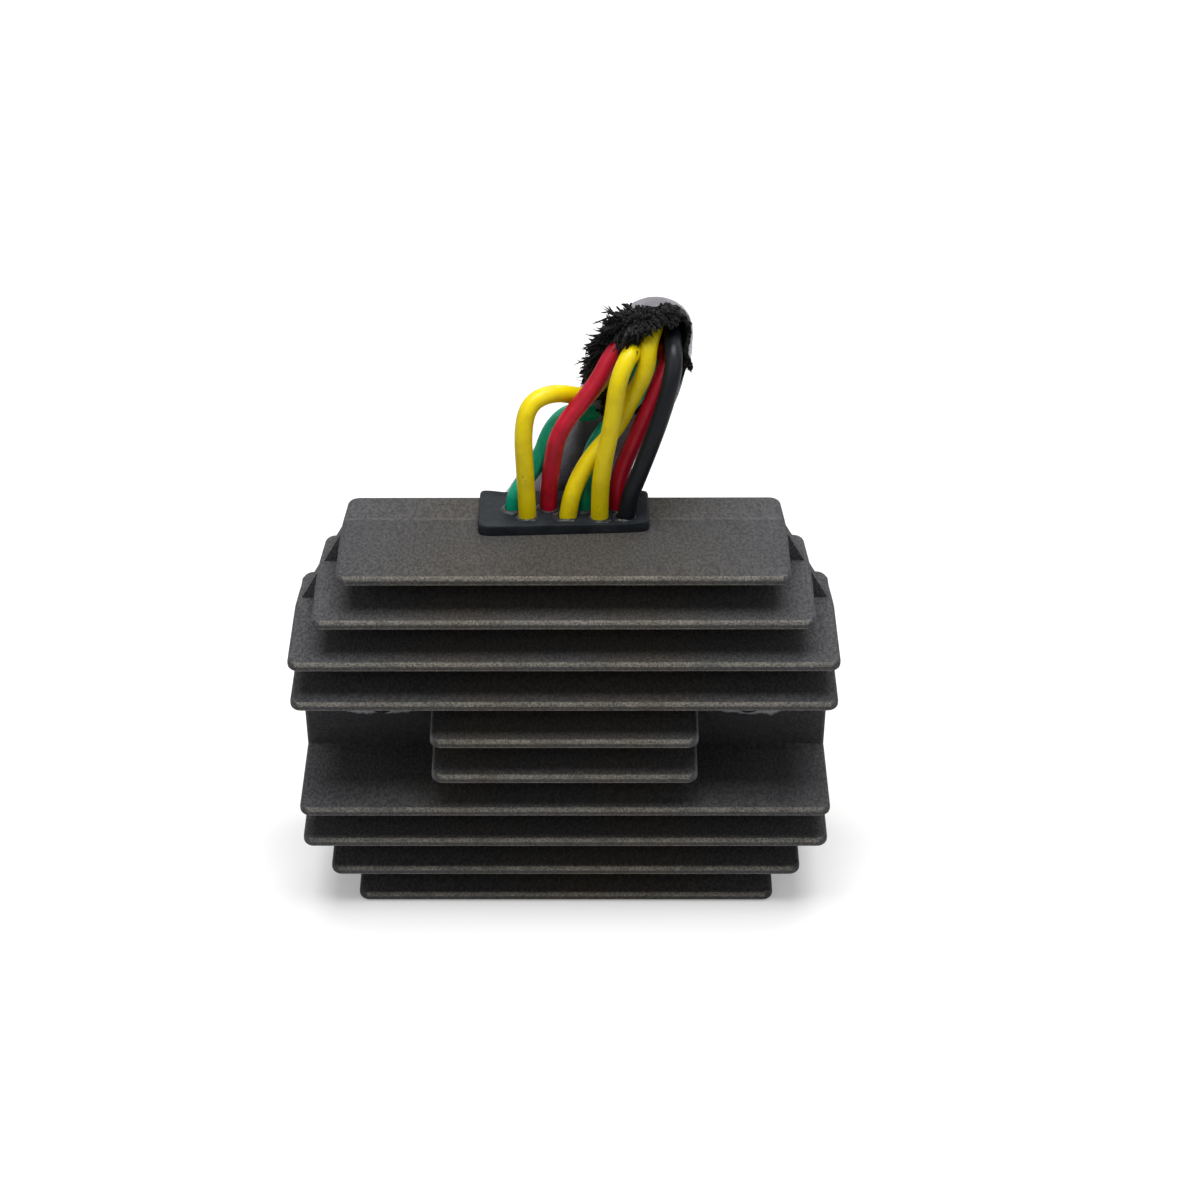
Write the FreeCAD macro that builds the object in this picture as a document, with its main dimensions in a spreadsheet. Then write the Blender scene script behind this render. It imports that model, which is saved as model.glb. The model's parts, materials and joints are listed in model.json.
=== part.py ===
import FreeCAD, Part

import math
import os

import Sketcher

from FreeCAD import Rotation, Vector

# Voltage regulator rectifier of a motorcycle charging system, standing on its bottom fin.
# X runs along the fins, +Z is up and the flat potted mounting face is towards +Y.
# The origin is the middle of the footprint, on the surface that the unit stands on.

SIZES = {
    # Finned casting. Depths are measured forward (-Y) from the mounting face.
    "depth": 32.6,
    "fin_pitch": 8.74,
    "fin_tip": 2.0,
    "fin_draft": 0.6,
    "rear_draft": 0.35,
    "parting": 8.5,
    "tip_crown": 165.0,
    "wide_half": 52.0,
    "step_half": 47.0,
    "end_half": 42.0,
    "short_half": 26.0,
    "swell_waist": 0.8,
    "swell_tip": 0.5,
    "corner_round": 2.2,
    "edge_round": 0.8,
    "web_front": 9.9,
    "web_back": 7.2,
    "frame_half": 39.5,
    "flange_front": 11.9,
    "flange_round": 1.0,
    "core_half": 24.0,
    "cover_wall": 3.0,
    # Potted cavity behind the fins.
    "cavity_half": 30.0,
    "cavity_low": 8.0,
    "cavity_high": 73.0,
    "cavity_deep": 8.4,
    "cavity_round": 3.0,
    "well_half": 20.5,
    "well_low": 12.0,
    "well_deep": 12.2,
    "notch_half": 14.6,
    "potting_sunk": 0.8,
    # Mounting.
    "bolt_spacing": 74.0,
    "bolt_hole": 6.6,
    "seat_long": 19.0,
    "seat_high": 13.0,
    "seat_raise": 0.5,
    # Rubber grommet.
    "pad_half": 16.4,
    "pad_deep": 12.9,
    "pad_thick": 2.1,
    "pad_round": 0.6,
    "plug_high": 6.0,
    # Circuit board and what it carries.
    "board_half": 26.5,
    "board_low": 10.5,
    "board_high": 66.0,
    "board_back": 4.0,
    "board_thick": 1.6,
    "device_wide": 10.2,
    "device_high": 15.0,
    "device_thick": 4.4,
    "device_pitch": 13.0,
    "thyristor_low": 16.0,
    "diode_low": 37.0,
    "leg_wide": 0.9,
    "leg_rise": 2.4,
    "leg_pitch": 2.54,
    "chip_long": 10.0,
    "chip_wide": 6.4,
    "chip_thick": 2.6,
    "capacitor_across": 6.3,
    "capacitor_tall": 5.4,
    "reference_long": 4.6,
    "reference_across": 2.4,
    "resistor_long": 6.4,
    "resistor_across": 2.2,
    "resistor_pitch": 6.0,
    "tab_wide": 2.4,
    "tab_thick": 0.8,
    "tab_drop_front": 6.0,
    "tab_drop_back": 2.0,
    # Harness.
    "lead_across": 3.4,
    "lead_start": 72.0,
    "lead_straight": 8.0,
    "sleeve_across": 13.5,
    "sleeve_wall": 1.0,
    "sleeve_short": 7.5,
    "lane_ring": 3.95,
    # Connector on the harness.
    "plug_start": 24.0,
    "plug_long": 26.0,
    "plug_wide": 26.0,
    "plug_tall": 17.0,
    "plug_near": 2.4,
    "slot_inset": 3.4,
    "slot_pitch": 6.4,
    "row_low": 4.6,
    "row_high": 12.2,
    "slot_wide": 5.0,
    "slot_tall": 3.2,
    "slot_start": 31.0,
    "terminal_long": 15.0,
    "terminal_fit": 0.2,
    "terminal_wall": 0.5,
    "latch_long": 16.0,
    "latch_wide": 8.0,
    "latch_tall": 2.4,
}

FINS = 10
FIN_HALVES = ["end_half", "step_half", "wide_half", "wide_half", "short_half"]
FIN_HALVES = FIN_HALVES + FIN_HALVES[::-1]

doc = FreeCAD.newDocument("voltage_regulator_rectifier")
sheet = doc.addObject("Spreadsheet::Sheet", "sizes")
for row, (alias, value) in enumerate(SIZES.items(), start=1):
    sheet.set(f"A{row}", alias)
    sheet.set(f"B{row}", str(value))
    sheet.setAlias(f"B{row}", alias)
doc.recompute()


def size(alias):
    """The value that the sheet holds under a name."""
    return float(sheet.get(alias))


def bind(obj, **expressions):
    """Ties properties of an object to the sheet; x, y and z place it."""
    for name, expression in expressions.items():
        path = f".Placement.Base.{name}" if name in ("x", "y", "z") else name
        obj.setExpression(path, expression)
    return obj


def box(name, x, y, z, length, width, height):
    """A box from its low corner and its three sides, all as expressions."""
    return bind(doc.addObject("Part::Box", name), x=x, y=y, z=z, Length=length, Width=width, Height=height)


def centred(name, half, front, back, low, high):
    """A box across the middle plane, between two depths and two heights."""
    return box(name, f"-({half})", f"{REAR} - ({front})", low, f"2 * ({half})",
               f"({front}) - ({back})", f"({high}) - ({low})")


def group(kind, name, members):
    """A boolean or compound of several objects."""
    made = doc.addObject(kind, name)
    if kind == "Part::Compound":
        made.Links = members
    else:
        made.Shapes = members
    return made


def cut(name, base, tool):
    made = doc.addObject("Part::Cut", name)
    made.Base = base
    made.Tool = tool
    return made


def rounded(name, base, choose, radius):
    """A fillet on the edges that choose() accepts."""
    doc.recompute()
    made = doc.addObject("Part::Fillet", name)
    made.Base = base
    numbers = [n for n, edge in enumerate(base.Shape.Edges, start=1) if choose(edge, base.Shape)]
    made.Edges = [(n, radius, radius) for n in numbers]
    return made


def middle(edge):
    return edge.valueAt((edge.FirstParameter + edge.LastParameter) / 2)


def runs_along(edge, axis):
    """Whether a straight edge is parallel to an axis."""
    if edge.Curve.TypeId != "Part::GeomLine":
        return False
    along = edge.tangentAt(edge.FirstParameter)
    return abs(along.dot(axis)) > 0.999


def facing(face, point):
    """The outward direction of a face near a point."""
    u, v = face.Surface.parameter(point)
    return face.normalAt(u, v)


X = Vector(1, 0, 0)
Y = Vector(0, 1, 0)
Z = Vector(0, 0, 1)
REAR = "sizes.depth / 2"
rear = size("depth") / 2
stack_top = (FINS - 1) * size("fin_pitch") + size("fin_tip")
TOP = f"{FINS - 1} * sizes.fin_pitch + sizes.fin_tip + sizes.fin_draft"
MIDDLE = f"({FINS - 1} * sizes.fin_pitch + sizes.fin_tip) / 2"
GAP_LOW = f"{FINS // 2 - 2} * sizes.fin_pitch"
GAP_HIGH = f"{FINS // 2 + 1} * sizes.fin_pitch + sizes.fin_tip"


def polygon_sketch(name, rotation, points):
    """A closed outline whose corners are locked to expressions of the sheet."""
    sketch = doc.addObject("Sketcher::SketchObject", name)
    sketch.Placement.Rotation = rotation
    places = [Vector(*[sheet_value(e) for e in point], 0) for point in points]
    count = len(points)
    for n in range(count):
        sketch.addGeometry(Part.LineSegment(places[n], places[(n + 1) % count]), False)
    for n in range(count):
        sketch.addConstraint(Sketcher.Constraint("Coincident", n, 2, (n + 1) % count, 1))
    for n, point in enumerate(points):
        for kind, expression, value in zip(("DistanceX", "DistanceY"), point, places[n]):
            number = sketch.addConstraint(Sketcher.Constraint(kind, -1, 1, n, 1, value))
            sketch.setExpression(f"Constraints[{number}]", expression)
    return sketch


def sheet_value(expression):
    """What an expression of the sheet comes to now."""
    return float(sheet.evalExpression(expression))


# Rotations that stand a sketch up: its own X along +Y for a side view, along +X for a front view.
SIDE_VIEW = Rotation(Vector(1, 1, 1), 120)
FRONT_VIEW = Rotation(X, 90)


def fin_edges(edge, shape):
    """The long edges between a fin's flat sides and its rim, which a casting never has sharp."""
    place = middle(edge)
    lean = sorted(abs(facing(f, place).z) for f in shape.ancestorsOfType(edge, Part.Face))
    return lean[0] < 0.3 and lean[-1] > 0.9


def facing_up(edge, shape):
    """An edge of the top face of a plate."""
    return any(facing(f, middle(edge)).z > 0.9 for f in shape.ancestorsOfType(edge, Part.Face))


def tip_depth(number):
    """How far fin tips reach: their ends lie on a wide arc, deepest at mid-height."""
    away = f"({number} - {(FINS + 1) / 2}) * sizes.fin_pitch"
    return f"(sizes.depth - sizes.tip_crown + sqrt(sizes.tip_crown ^ 2 - ({away}) ^ 2))"


def fin(number):
    """One drafted fin, counted from the top: thickest and widest near the parting plane, rounded all round."""
    low = f"{FINS - number} * sizes.fin_pitch"
    high = f"({low} + sizes.fin_tip)"
    swell = "0" if number == FINS else "sizes.fin_draft"
    rear_swell = "0" if number == FINS else "sizes.rear_draft"
    tip = f"{REAR} - {tip_depth(number)}"
    waist = f"{REAR} - sizes.parting"
    outline = [
        (REAR, f"{low} - {rear_swell}"), (REAR, f"{high} + sizes.rear_draft"),
        (waist, f"{high} + sizes.fin_draft"),
        (tip, high), (tip, low), (waist, f"{low} - {swell}"),
    ]
    sketch = polygon_sketch(f"fin_{number}_profile", SIDE_VIEW, outline)
    blade = doc.addObject("Part::Extrusion", f"fin_{number}_blade")
    blade.Base = sketch
    blade.DirMode = "Normal"
    blade.Solid = True
    blade.Symmetric = True
    half = f"sizes.{FIN_HALVES[number - 1]}"
    blade.setExpression("LengthFwd", f"2 * {half} + 4")
    waist_half, tip_half = f"{half} + sizes.swell_waist", f"{half} + sizes.swell_tip"
    if FIN_HALVES[number - 1] == "short_half":
        waist_half, tip_half = f"{half} + sizes.swell_waist / 2", half
    right = [(tip_half, f"{tip} - 1"), (waist_half, f"{REAR} - sizes.flange_front"), (half, f"{REAR} + 1")]
    plan = doc.addObject("Part::Extrusion", f"fin_{number}_plan")
    plan.Base = polygon_sketch(f"fin_{number}_ends", Rotation(),
                               right + [(f"-({x})", y) for x, y in right[::-1]])
    plan.DirMode = "Normal"
    plan.Solid = True
    plan.setExpression("LengthFwd", f"{TOP} + 2")
    plan.Placement.Base.z = -1
    tapered = group("Part::MultiCommon", f"fin_{number}_tapered", [blade, plan])
    corners = rounded(
        f"fin_{number}_corners", tapered,
        lambda edge, shape: runs_along(edge, Z), size("corner_round"),
    )
    return rounded(f"fin_{number}", corners, fin_edges, size("edge_round"))


def web_outline():
    """The plate that closes the gaps behind the fins, stepping in beside the outer ones."""
    step_low = f"{FINS - 2} * sizes.fin_pitch"
    wide_low = f"{FINS - 3} * sizes.fin_pitch"
    upper = [
        ("sizes.wide_half + sizes.swell_tip", f"{wide_low} + sizes.fin_tip / 2"),
        ("sizes.step_half + sizes.swell_tip", f"{step_low} + sizes.fin_tip / 2"),
        ("sizes.end_half + sizes.swell_tip", f"{FINS - 1} * sizes.fin_pitch + sizes.fin_tip / 2"),
    ]
    lower = [(x, f"{FINS - 1} * sizes.fin_pitch + sizes.fin_tip - ({z})") for x, z in upper[::-1]]
    right = lower + upper
    return right + [(f"-({x})", z) for x, z in right[::-1]]


def front_extrusion(name, outline, front, back):
    """A front-view outline given depth, between two distances from the mounting face."""
    made = doc.addObject("Part::Extrusion", name)
    made.Base = polygon_sketch(f"{name}_outline", FRONT_VIEW, outline)
    made.DirMode = "Normal"
    made.Solid = True
    made.setExpression("LengthFwd", f"({front}) - ({back})")
    made.setExpression(".Placement.Base.y", f"{REAR} - ({back})")
    return made


def bolt_places():
    return [("left", "-sizes.bolt_spacing / 2"), ("right", "sizes.bolt_spacing / 2")]


def bolt_seat(side, x):
    """A raised oblong seat that is faced flat for the bolt head."""
    block = box(f"seat_block_{side}", f"{x} - sizes.seat_long / 2",
                f"{REAR} - sizes.flange_front - sizes.seat_raise", f"{MIDDLE} - sizes.seat_high / 2",
                "sizes.seat_long", "sizes.seat_raise + 1", "sizes.seat_high")
    return rounded(f"seat_{side}", block, lambda edge, shape: runs_along(edge, Y),
                   size("seat_high") / 2 - 0.1)


def bolt_hole(side, x):
    hole = doc.addObject("Part::Cylinder", f"bolt_hole_{side}")
    hole.Placement.Rotation = Rotation(X, 90)
    return bind(hole, x=x, y=f"{REAR} + 1", z=MIDDLE, Radius="sizes.bolt_hole / 2",
                Height="sizes.flange_front + sizes.seat_raise + 3")


def make_housing():
    """The die-cast aluminium heat sink: ten fins, frame, flanges, potted cavity and grommet notch."""
    frame = centred("frame", "sizes.frame_half", "sizes.web_front", "0",
                    "sizes.fin_tip / 2", f"{FINS - 1} * sizes.fin_pitch + sizes.fin_tip / 2")
    flange = rounded(
        "flange",
        centred("flange_block", "sizes.wide_half + sizes.swell_waist", "sizes.flange_front", "0",
                f"{GAP_LOW} + sizes.fin_tip / 2", f"{GAP_HIGH} - sizes.fin_tip / 2"),
        lambda edge, shape: runs_along(edge, Z), size("flange_round"),
    )
    shoulder = rounded(
        "shoulder",
        centred("shoulder_block", "sizes.wide_half + sizes.swell_tip", "sizes.web_front", "0",
                "2 * sizes.fin_pitch + sizes.fin_tip / 2",
                f"{FINS - 3} * sizes.fin_pitch + sizes.fin_tip / 2"),
        lambda edge, shape: runs_along(edge, Z), size("flange_round"),
    )
    web = front_extrusion("web", web_outline(), "sizes.web_front", "sizes.web_back")
    core = centred("core", "sizes.core_half", "sizes.well_deep + sizes.cover_wall", "0",
                   "sizes.fin_tip / 2", f"{FINS - 1} * sizes.fin_pitch + sizes.fin_tip / 2")
    fins = [fin(number) for number in range(1, FINS + 1)]
    seats = [bolt_seat(side, x) for side, x in bolt_places()]
    solid = group("Part::MultiFuse", "casting_solid", [frame, flange, shoulder, web, core] + fins + seats)

    hollows = cavity_blocks("cavity", "-1")
    hollows.append(centred("notch", "sizes.notch_half", "sizes.well_deep", "-1",
                           "sizes.cavity_high - 1", f"{TOP} + 1"))
    hollows += [bolt_hole(side, x) for side, x in bolt_places()]
    return cut("housing", solid, group("Part::MultiFuse", "casting_hollows", hollows))


def cavity_blocks(name, back):
    """The potted space: a wide shallow part and a deeper well that holds the power devices."""
    wide = centred(f"{name}_wide_block", "sizes.cavity_half", "sizes.cavity_deep", back,
                   "sizes.cavity_low", "sizes.cavity_high")
    well = centred(f"{name}_well_block", "sizes.well_half", "sizes.well_deep", back,
                   "sizes.well_low", "sizes.cavity_high")
    return [
        rounded(f"{name}_{part}", block, lambda edge, shape: runs_along(edge, Y), size("cavity_round"))
        for part, block in (("wide", wide), ("well", well))
    ]


def make_board():
    """The circuit board, which lies over the power devices."""
    return centred("circuit_board", "sizes.board_half", "sizes.board_back + sizes.board_thick",
                   "sizes.board_back", "sizes.board_low", "sizes.board_high")


def make_device(name, column, low):
    """A flat power device seated on the floor of the well, with three legs bent back to the board."""
    x = f"{column} * sizes.device_pitch"
    body = box(f"{name}_body", f"{x} - sizes.device_wide / 2", f"{REAR} - sizes.well_deep", low,
               "sizes.device_wide", "sizes.device_thick", "sizes.device_high")
    top = f"{low} + sizes.device_high"
    pieces = [body]
    for leg in (-1, 0, 1):
        middle_x = f"{x} + {leg} * sizes.leg_pitch - sizes.leg_wide / 2"
        depth = f"{REAR} - sizes.well_deep + sizes.device_thick / 2 - sizes.leg_wide / 2"
        up = box(f"{name}_leg_up_{leg + 1}", middle_x, depth, top,
                 "sizes.leg_wide", "sizes.leg_wide", "sizes.leg_rise")
        back = box(f"{name}_leg_back_{leg + 1}", middle_x, depth, f"{top} + sizes.leg_rise - sizes.leg_wide",
                   "sizes.leg_wide",
                   f"sizes.well_deep - sizes.board_back - sizes.board_thick"
                   f" - sizes.device_thick / 2 + sizes.leg_wide / 2",
                   "sizes.leg_wide")
        pieces += [up, back]
    return group("Part::MultiFuse", name, pieces)


def make_chip():
    """The control chip on the back of the board."""
    return box("control_chip", "-sizes.chip_long / 2", f"{REAR} - sizes.board_back",
               f"{MIDDLE} - sizes.chip_wide / 2",
               "sizes.chip_long", "sizes.chip_thick", "sizes.chip_wide")


def upright(name, across, tall, x, depth, z):
    """A round part that stands on the board, its axis along Y."""
    made = doc.addObject("Part::Cylinder", name)
    made.Placement.Rotation = Rotation(X, 90)
    return bind(made, x=x, y=f"{REAR} - ({depth})", z=z, Radius=f"({across}) / 2", Height=tall)


def lying(name, across, long, x, z):
    """A round part that lies on the back of the board, its axis along X."""
    made = doc.addObject("Part::Cylinder", name)
    made.Placement.Rotation = Rotation(Y, 90)
    return bind(made, x=x, y=f"{REAR} - sizes.board_back + ({across}) / 2", z=z,
                Radius=f"({across}) / 2", Height=long)


def make_resistors():
    rows = [
        lying(f"resistor_{n + 1}", "sizes.resistor_across", "sizes.resistor_long",
              "-sizes.resistor_long / 2 + sizes.device_pitch", f"{MIDDLE} + {n - 1.5} * sizes.resistor_pitch")
        for n in range(4)
    ]
    return group("Part::Compound", "resistors", rows)


# Harness. Points are hand-laid along the wires, as x, depth behind the mounting face, height.
SLEEVE_ROUTE = [
    (17.3, -8.0, 114.75), (17.3, 8.0, 114.75), (9.8, 8.2, 94.8), (-2.0, 8.4, 80.5),
    (-12.7, 8.6, 60.4), (-12.1, 8.8, 37.6), (-0.4, 9.0, 18.1),
]

# Each lead: its place round the sleeve's bore in degrees from the inside of the top bend (None is the
# middle one), whether it goes in through the hood or below it, the straight stretch before that, the
# straight stretch after the sleeve, its column and row in the connector, and its points.
LEADS = {
    "lead_yellow_left": (-77.1, "below", 2.2, 5.0, 1, "row_low", [
        (-6.9, -10.0), (-6.9, -10.0, 84.0), (-7.3, -9.6, 93.0), (-7.6, -8.6, 101.6),
        (-6.1, -6.8, 106.2), (-1.4, -4.8, 107.2), (4.7, -1.8, 104.5), (6.1, -0.4, 107.4)]),
    "lead_green_left": (-25.7, "below", 2.2, 4.5, 0, "row_low", [
        (-9.9, -6.6), (-9.9, -6.6, 84.0), (-8.1, -5.8, 87.3), (-4.6, -4.8, 92.0),
        (-2.5, -3.6, 98.2), (1.2, -2.0, 100.9), (5.0, 0.3, 99.2), (8.0, -0.2, 102.5),
        (11.4, -1.8, 107.6)]),
    "lead_green_right": (25.7, "below", 2.4, 2.0, 0, "row_high", [
        (3.8, -6.6), (3.8, -6.6, 84.5), (4.2, -3.0, 92.5), (9.0, -0.8, 98.4),
        (14.2, -0.6, 102.6), (16.4, -1.0, 108.2)]),
    "lead_red_right": (77.1, "below", 5.0, 1.5, 1, "row_high", [
        (10.3, -6.6), (10.3, -6.6, 84.0), (11.1, -5.9, 90.1), (14.4, -5.4, 99.1),
        (17.7, -5.3, 108.1), (19.9, -3.4, 113.4)]),
    "lead_yellow_right": (None, "below", 4.6, 4.5, 2, "row_high", [
        (6.8, -10.0), (6.8, -10.0, 84.0), (7.2, -10.8, 93.4), (9.1, -10.0, 103.4),
        (9.8, -8.2, 109.6), (13.7, -0.5, 113.7)]),
    "lead_red_left": (-128.6, "hood", 4.6, 5.0, 2, "row_low", [
        (-3.1, -6.6), (-3.1, -6.6, 84.0), (-2.1, -7.4, 92.5), (0.1, -7.8, 101.3),
        (5.2, -7.2, 109.1), (9.4, -5.8, 115.3)]),
    "lead_yellow_middle": (180.0, "hood", 5.6, 4.0, 3, "row_low", [
        (0.3, -10.0), (0.3, -10.0, 84.0), (4.0, -7.6, 93.2), (10.3, -5.4, 99.6),
        (13.7, -5.7, 107.8), (16.9, -6.1, 115.9)]),
    "lead_black": (128.6, "hood", 5.4, 1.0, 3, "row_high", [
        (11.5, -10.0), (11.5, -10.0, 84.0), (15.2, -9.8, 94.6), (18.6, -9.4, 105.2),
        (20.6, -8.4, 114.0)]),
}


def behind(point):
    """A hand-laid point in the part's frame; one with no height starts at the terminals."""
    height = point[2] if len(point) > 2 else size("lead_start")
    return Vector(point[0], rear + point[1], height)


def turned(vector, axis, radians):
    return Rotation(axis, math.degrees(radians)).multVec(vector)


def bends(points):
    """One record per inner point of a route, with the arc that rounds it off."""
    made = []
    for before, corner, after in zip(points, points[1:], points[2:]):
        way_in = (corner - before).normalize()
        way_out = (after - corner).normalize()
        angle = way_in.getAngle(way_out)
        reach = 0.45 * min((corner - before).Length, (after - corner).Length)
        radius = reach / math.tan(angle / 2)
        start = corner - way_in * reach
        inward = (way_out - way_in * way_in.dot(way_out)).normalize()
        made.append({
            "start": start, "end": corner + way_out * reach, "in": way_in, "out": way_out,
            "angle": angle, "radius": radius, "axis": way_in.cross(way_out).normalize(),
            "centre": start + inward * radius,
        })
    return made


def rounded_route(points):
    """Edges of straight runs joined by tangent arcs through a list of points."""
    edges, at = [], points[0]
    for bend in bends(points):
        half = turned(bend["start"] - bend["centre"], bend["axis"], bend["angle"] / 2)
        edges.append(Part.LineSegment(at, bend["start"]).toShape())
        edges.append(Part.Arc(bend["start"], bend["centre"] + half, bend["end"]).toShape())
        at = bend["end"]
    edges.append(Part.LineSegment(at, points[-1]).toShape())
    return edges


def lane_offset(angle, side, heading):
    """Where a lane lies across the bore, from the middle of it."""
    if angle is None:
        return Vector(0, 0, 0)
    inner = heading.cross(side)
    radians = math.radians(angle)
    return (side * math.sin(radians) + inner * math.cos(radians)) * size("lane_ring")


def lane(angle, first):
    """A lead's way through the sleeve from one of its bends on: edges, start, heading, end, heading."""
    route = [behind(p) for p in SLEEVE_ROUTE]
    side, at, edges, begins = Vector(X), None, [], None
    for number, bend in enumerate(bends(route)):
        start = bend["start"] + lane_offset(angle, side, bend["in"])
        half = bend["angle"] / 2
        half_side = turned(side, bend["axis"], half)
        half_way = turned(bend["in"], bend["axis"], half)
        half_place = bend["centre"] + turned(bend["start"] - bend["centre"], bend["axis"], half)
        side = turned(side, bend["axis"], bend["angle"])
        end = bend["end"] + lane_offset(angle, side, bend["out"])
        if number >= first:
            if at is None:
                begins = (start, bend["in"])
            else:
                edges.append(Part.LineSegment(at, start).toShape())
            passing = half_place + lane_offset(angle, half_side, half_way)
            edges.append(Part.Arc(start, passing, end).toShape())
            at = end
    heading = (route[-1] - route[-2]).normalize()
    return edges, begins, at, route[-1] + lane_offset(angle, side, heading), heading


def slot_place(column, row):
    """The y and z of a connector slot."""
    return rear + size("plug_near") + size("slot_inset") + column * size("slot_pitch"), size(row)


def lead_path(angle, entry, before, after, column, row, points):
    """The whole way of one lead from its terminal tab to its connector terminal."""
    edges, (start, heading), last, exit_place, way_out = lane(angle, 0 if entry == "hood" else 1)
    if entry == "below":
        hood, throat = bends([behind(p) for p in SLEEVE_ROUTE])[:2]
        before = before + (throat["start"] - hood["end"]).Length
    upper = [behind(p) for p in points] + [start - heading * before, start]
    y, z = slot_place(column, row)
    lower = [
        last, exit_place + way_out * after,
        Vector(size("plug_start") - size("lead_straight"), y, z), Vector(size("slot_start"), y, z),
    ]
    radii = [b["radius"] for b in bends(upper) + bends(lower)]
    return rounded_route(upper) + edges + rounded_route(lower), radii


def pipe(edges, radius):
    """A round bar along joined edges, and how far its volume is from section times length."""
    wire = Part.Wire(edges)
    start = edges[0].valueAt(edges[0].FirstParameter)
    heading = edges[0].tangentAt(edges[0].FirstParameter)
    profile = Part.Wire([Part.makeCircle(radius, start, heading)])
    solid = wire.makePipeShell([profile], True, False, 0)
    share = solid.Volume / (math.pi * radius ** 2 * wire.Length) - 1
    return solid, wire.Length, share


def feature(name, shape):
    made = doc.addObject("Part::Feature", name)
    made.Shape = shape
    return made


def make_leads():
    """Eight insulated leads, each in one piece from the circuit to the connector."""
    made = []
    for name, plan in LEADS.items():
        edges, radii = lead_path(*plan)
        solid, length, share = pipe(edges, size("lead_across") / 2)
        print(f"{name}: length {length:.1f} mm, volume off by {share * 100:.3f}%, radii "
              + " ".join(f"{r:.1f}" for r in radii))
        made.append(feature(name, solid))
    return made


def make_sleeve():
    """The woven loom sleeve, folded over at the top and torn open towards the front."""
    route = rounded_route([behind(p) for p in SLEEVE_ROUTE])
    last = route.pop()
    short = last.LastParameter - size("sleeve_short")
    route.append(Part.LineSegment(last.valueAt(last.FirstParameter), last.valueAt(short)).toShape())
    outside, length, share = pipe(route, size("sleeve_across") / 2)
    print(f"harness_sleeve: length {length:.1f} mm, volume off by {share * 100:.3f}%")
    bore, _, _ = pipe(route, size("sleeve_across") / 2 - size("sleeve_wall"))
    tube = feature("sleeve_tube", outside.cut(bore))
    mouth = [(-20.0, 100.0), (4.8, 100.0), (4.8, 108.5), (-0.6, 121.0), (-0.6, 130.0), (-20.0, 130.0)]
    slit = [(-20.0, 104.0), (8.6, 104.0), (10.2, 110.0), (7.0, 116.5), (-20.0, 118.0)]
    tears = []
    for outline, left, right in ((mouth, -10.0, 40.0), (slit, -10.0, 13.4)):
        corners = [Vector(left, rear + depth, height) for depth, height in outline]
        face = Part.Face(Part.makePolygon(corners + corners[:1]))
        tears.append(face.extrude(Vector(right - left, 0, 0)))
    tear = feature("sleeve_tear", tears[0].fuse(tears[1]))
    return cut("harness_sleeve", tube, tear)


def make_tabs():
    """Brass tabs that carry each lead's core to the board, the front row stepping lower."""
    tabs = []
    thick = size("tab_thick")
    wide = size("tab_wide")
    board = rear - size("board_back") - size("board_thick")
    for name, plan in LEADS.items():
        x, depth = plan[-1][0]
        low = size("board_high") - size("tab_drop_front" if depth < -8 else "tab_drop_back")
        upright_part = Part.makeBox(wide, thick, size("lead_start") - low,
                                    Vector(x - wide / 2, rear + depth - thick / 2, low))
        foot = Part.makeBox(wide, board - (rear + depth), thick, Vector(x - wide / 2, rear + depth, low))
        tabs.append(upright_part.fuse(foot).removeSplitter())
    return feature("lead_tabs", Part.makeCompound(tabs))


def make_grommet(housing, leads):
    """The rubber pad moulded on to the top fin and the plug below it that fills the notch."""
    pad = rounded(
        "grommet_pad",
        centred("grommet_plate", "sizes.pad_half", "sizes.pad_deep", "0",
                f"{TOP} - sizes.fin_draft", f"{TOP} + sizes.pad_thick"),
        lambda edge, shape: facing_up(edge, shape) or runs_along(edge, Z), size("pad_round"),
    )
    plug = centred("grommet_plug", "sizes.notch_half", "sizes.well_deep", "0",
                   f"{TOP} - sizes.plug_high", f"{TOP} + sizes.pad_thick / 2")
    whole = group("Part::MultiFuse", "grommet_solid", [pad, plug])
    return cut("grommet", whole, group("Part::Compound", "grommet_neighbours", [housing] + leads))


def make_potting(inside):
    """Cast resin that fills the cavity round everything in it, a little below the rim."""
    blocks = cavity_blocks("resin", "sizes.potting_sunk")
    throat = centred("resin_throat", "sizes.notch_half", "sizes.well_deep", "sizes.potting_sunk",
                     "sizes.cavity_high - 1", f"{TOP} - sizes.plug_high")
    block = group("Part::MultiFuse", "resin_block", blocks + [throat])
    return cut("potting_resin", block, group("Part::Compound", "potted_parts", inside))


def slot_names():
    return [(plan[4], plan[5], plan) for plan in LEADS.values()]


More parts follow.
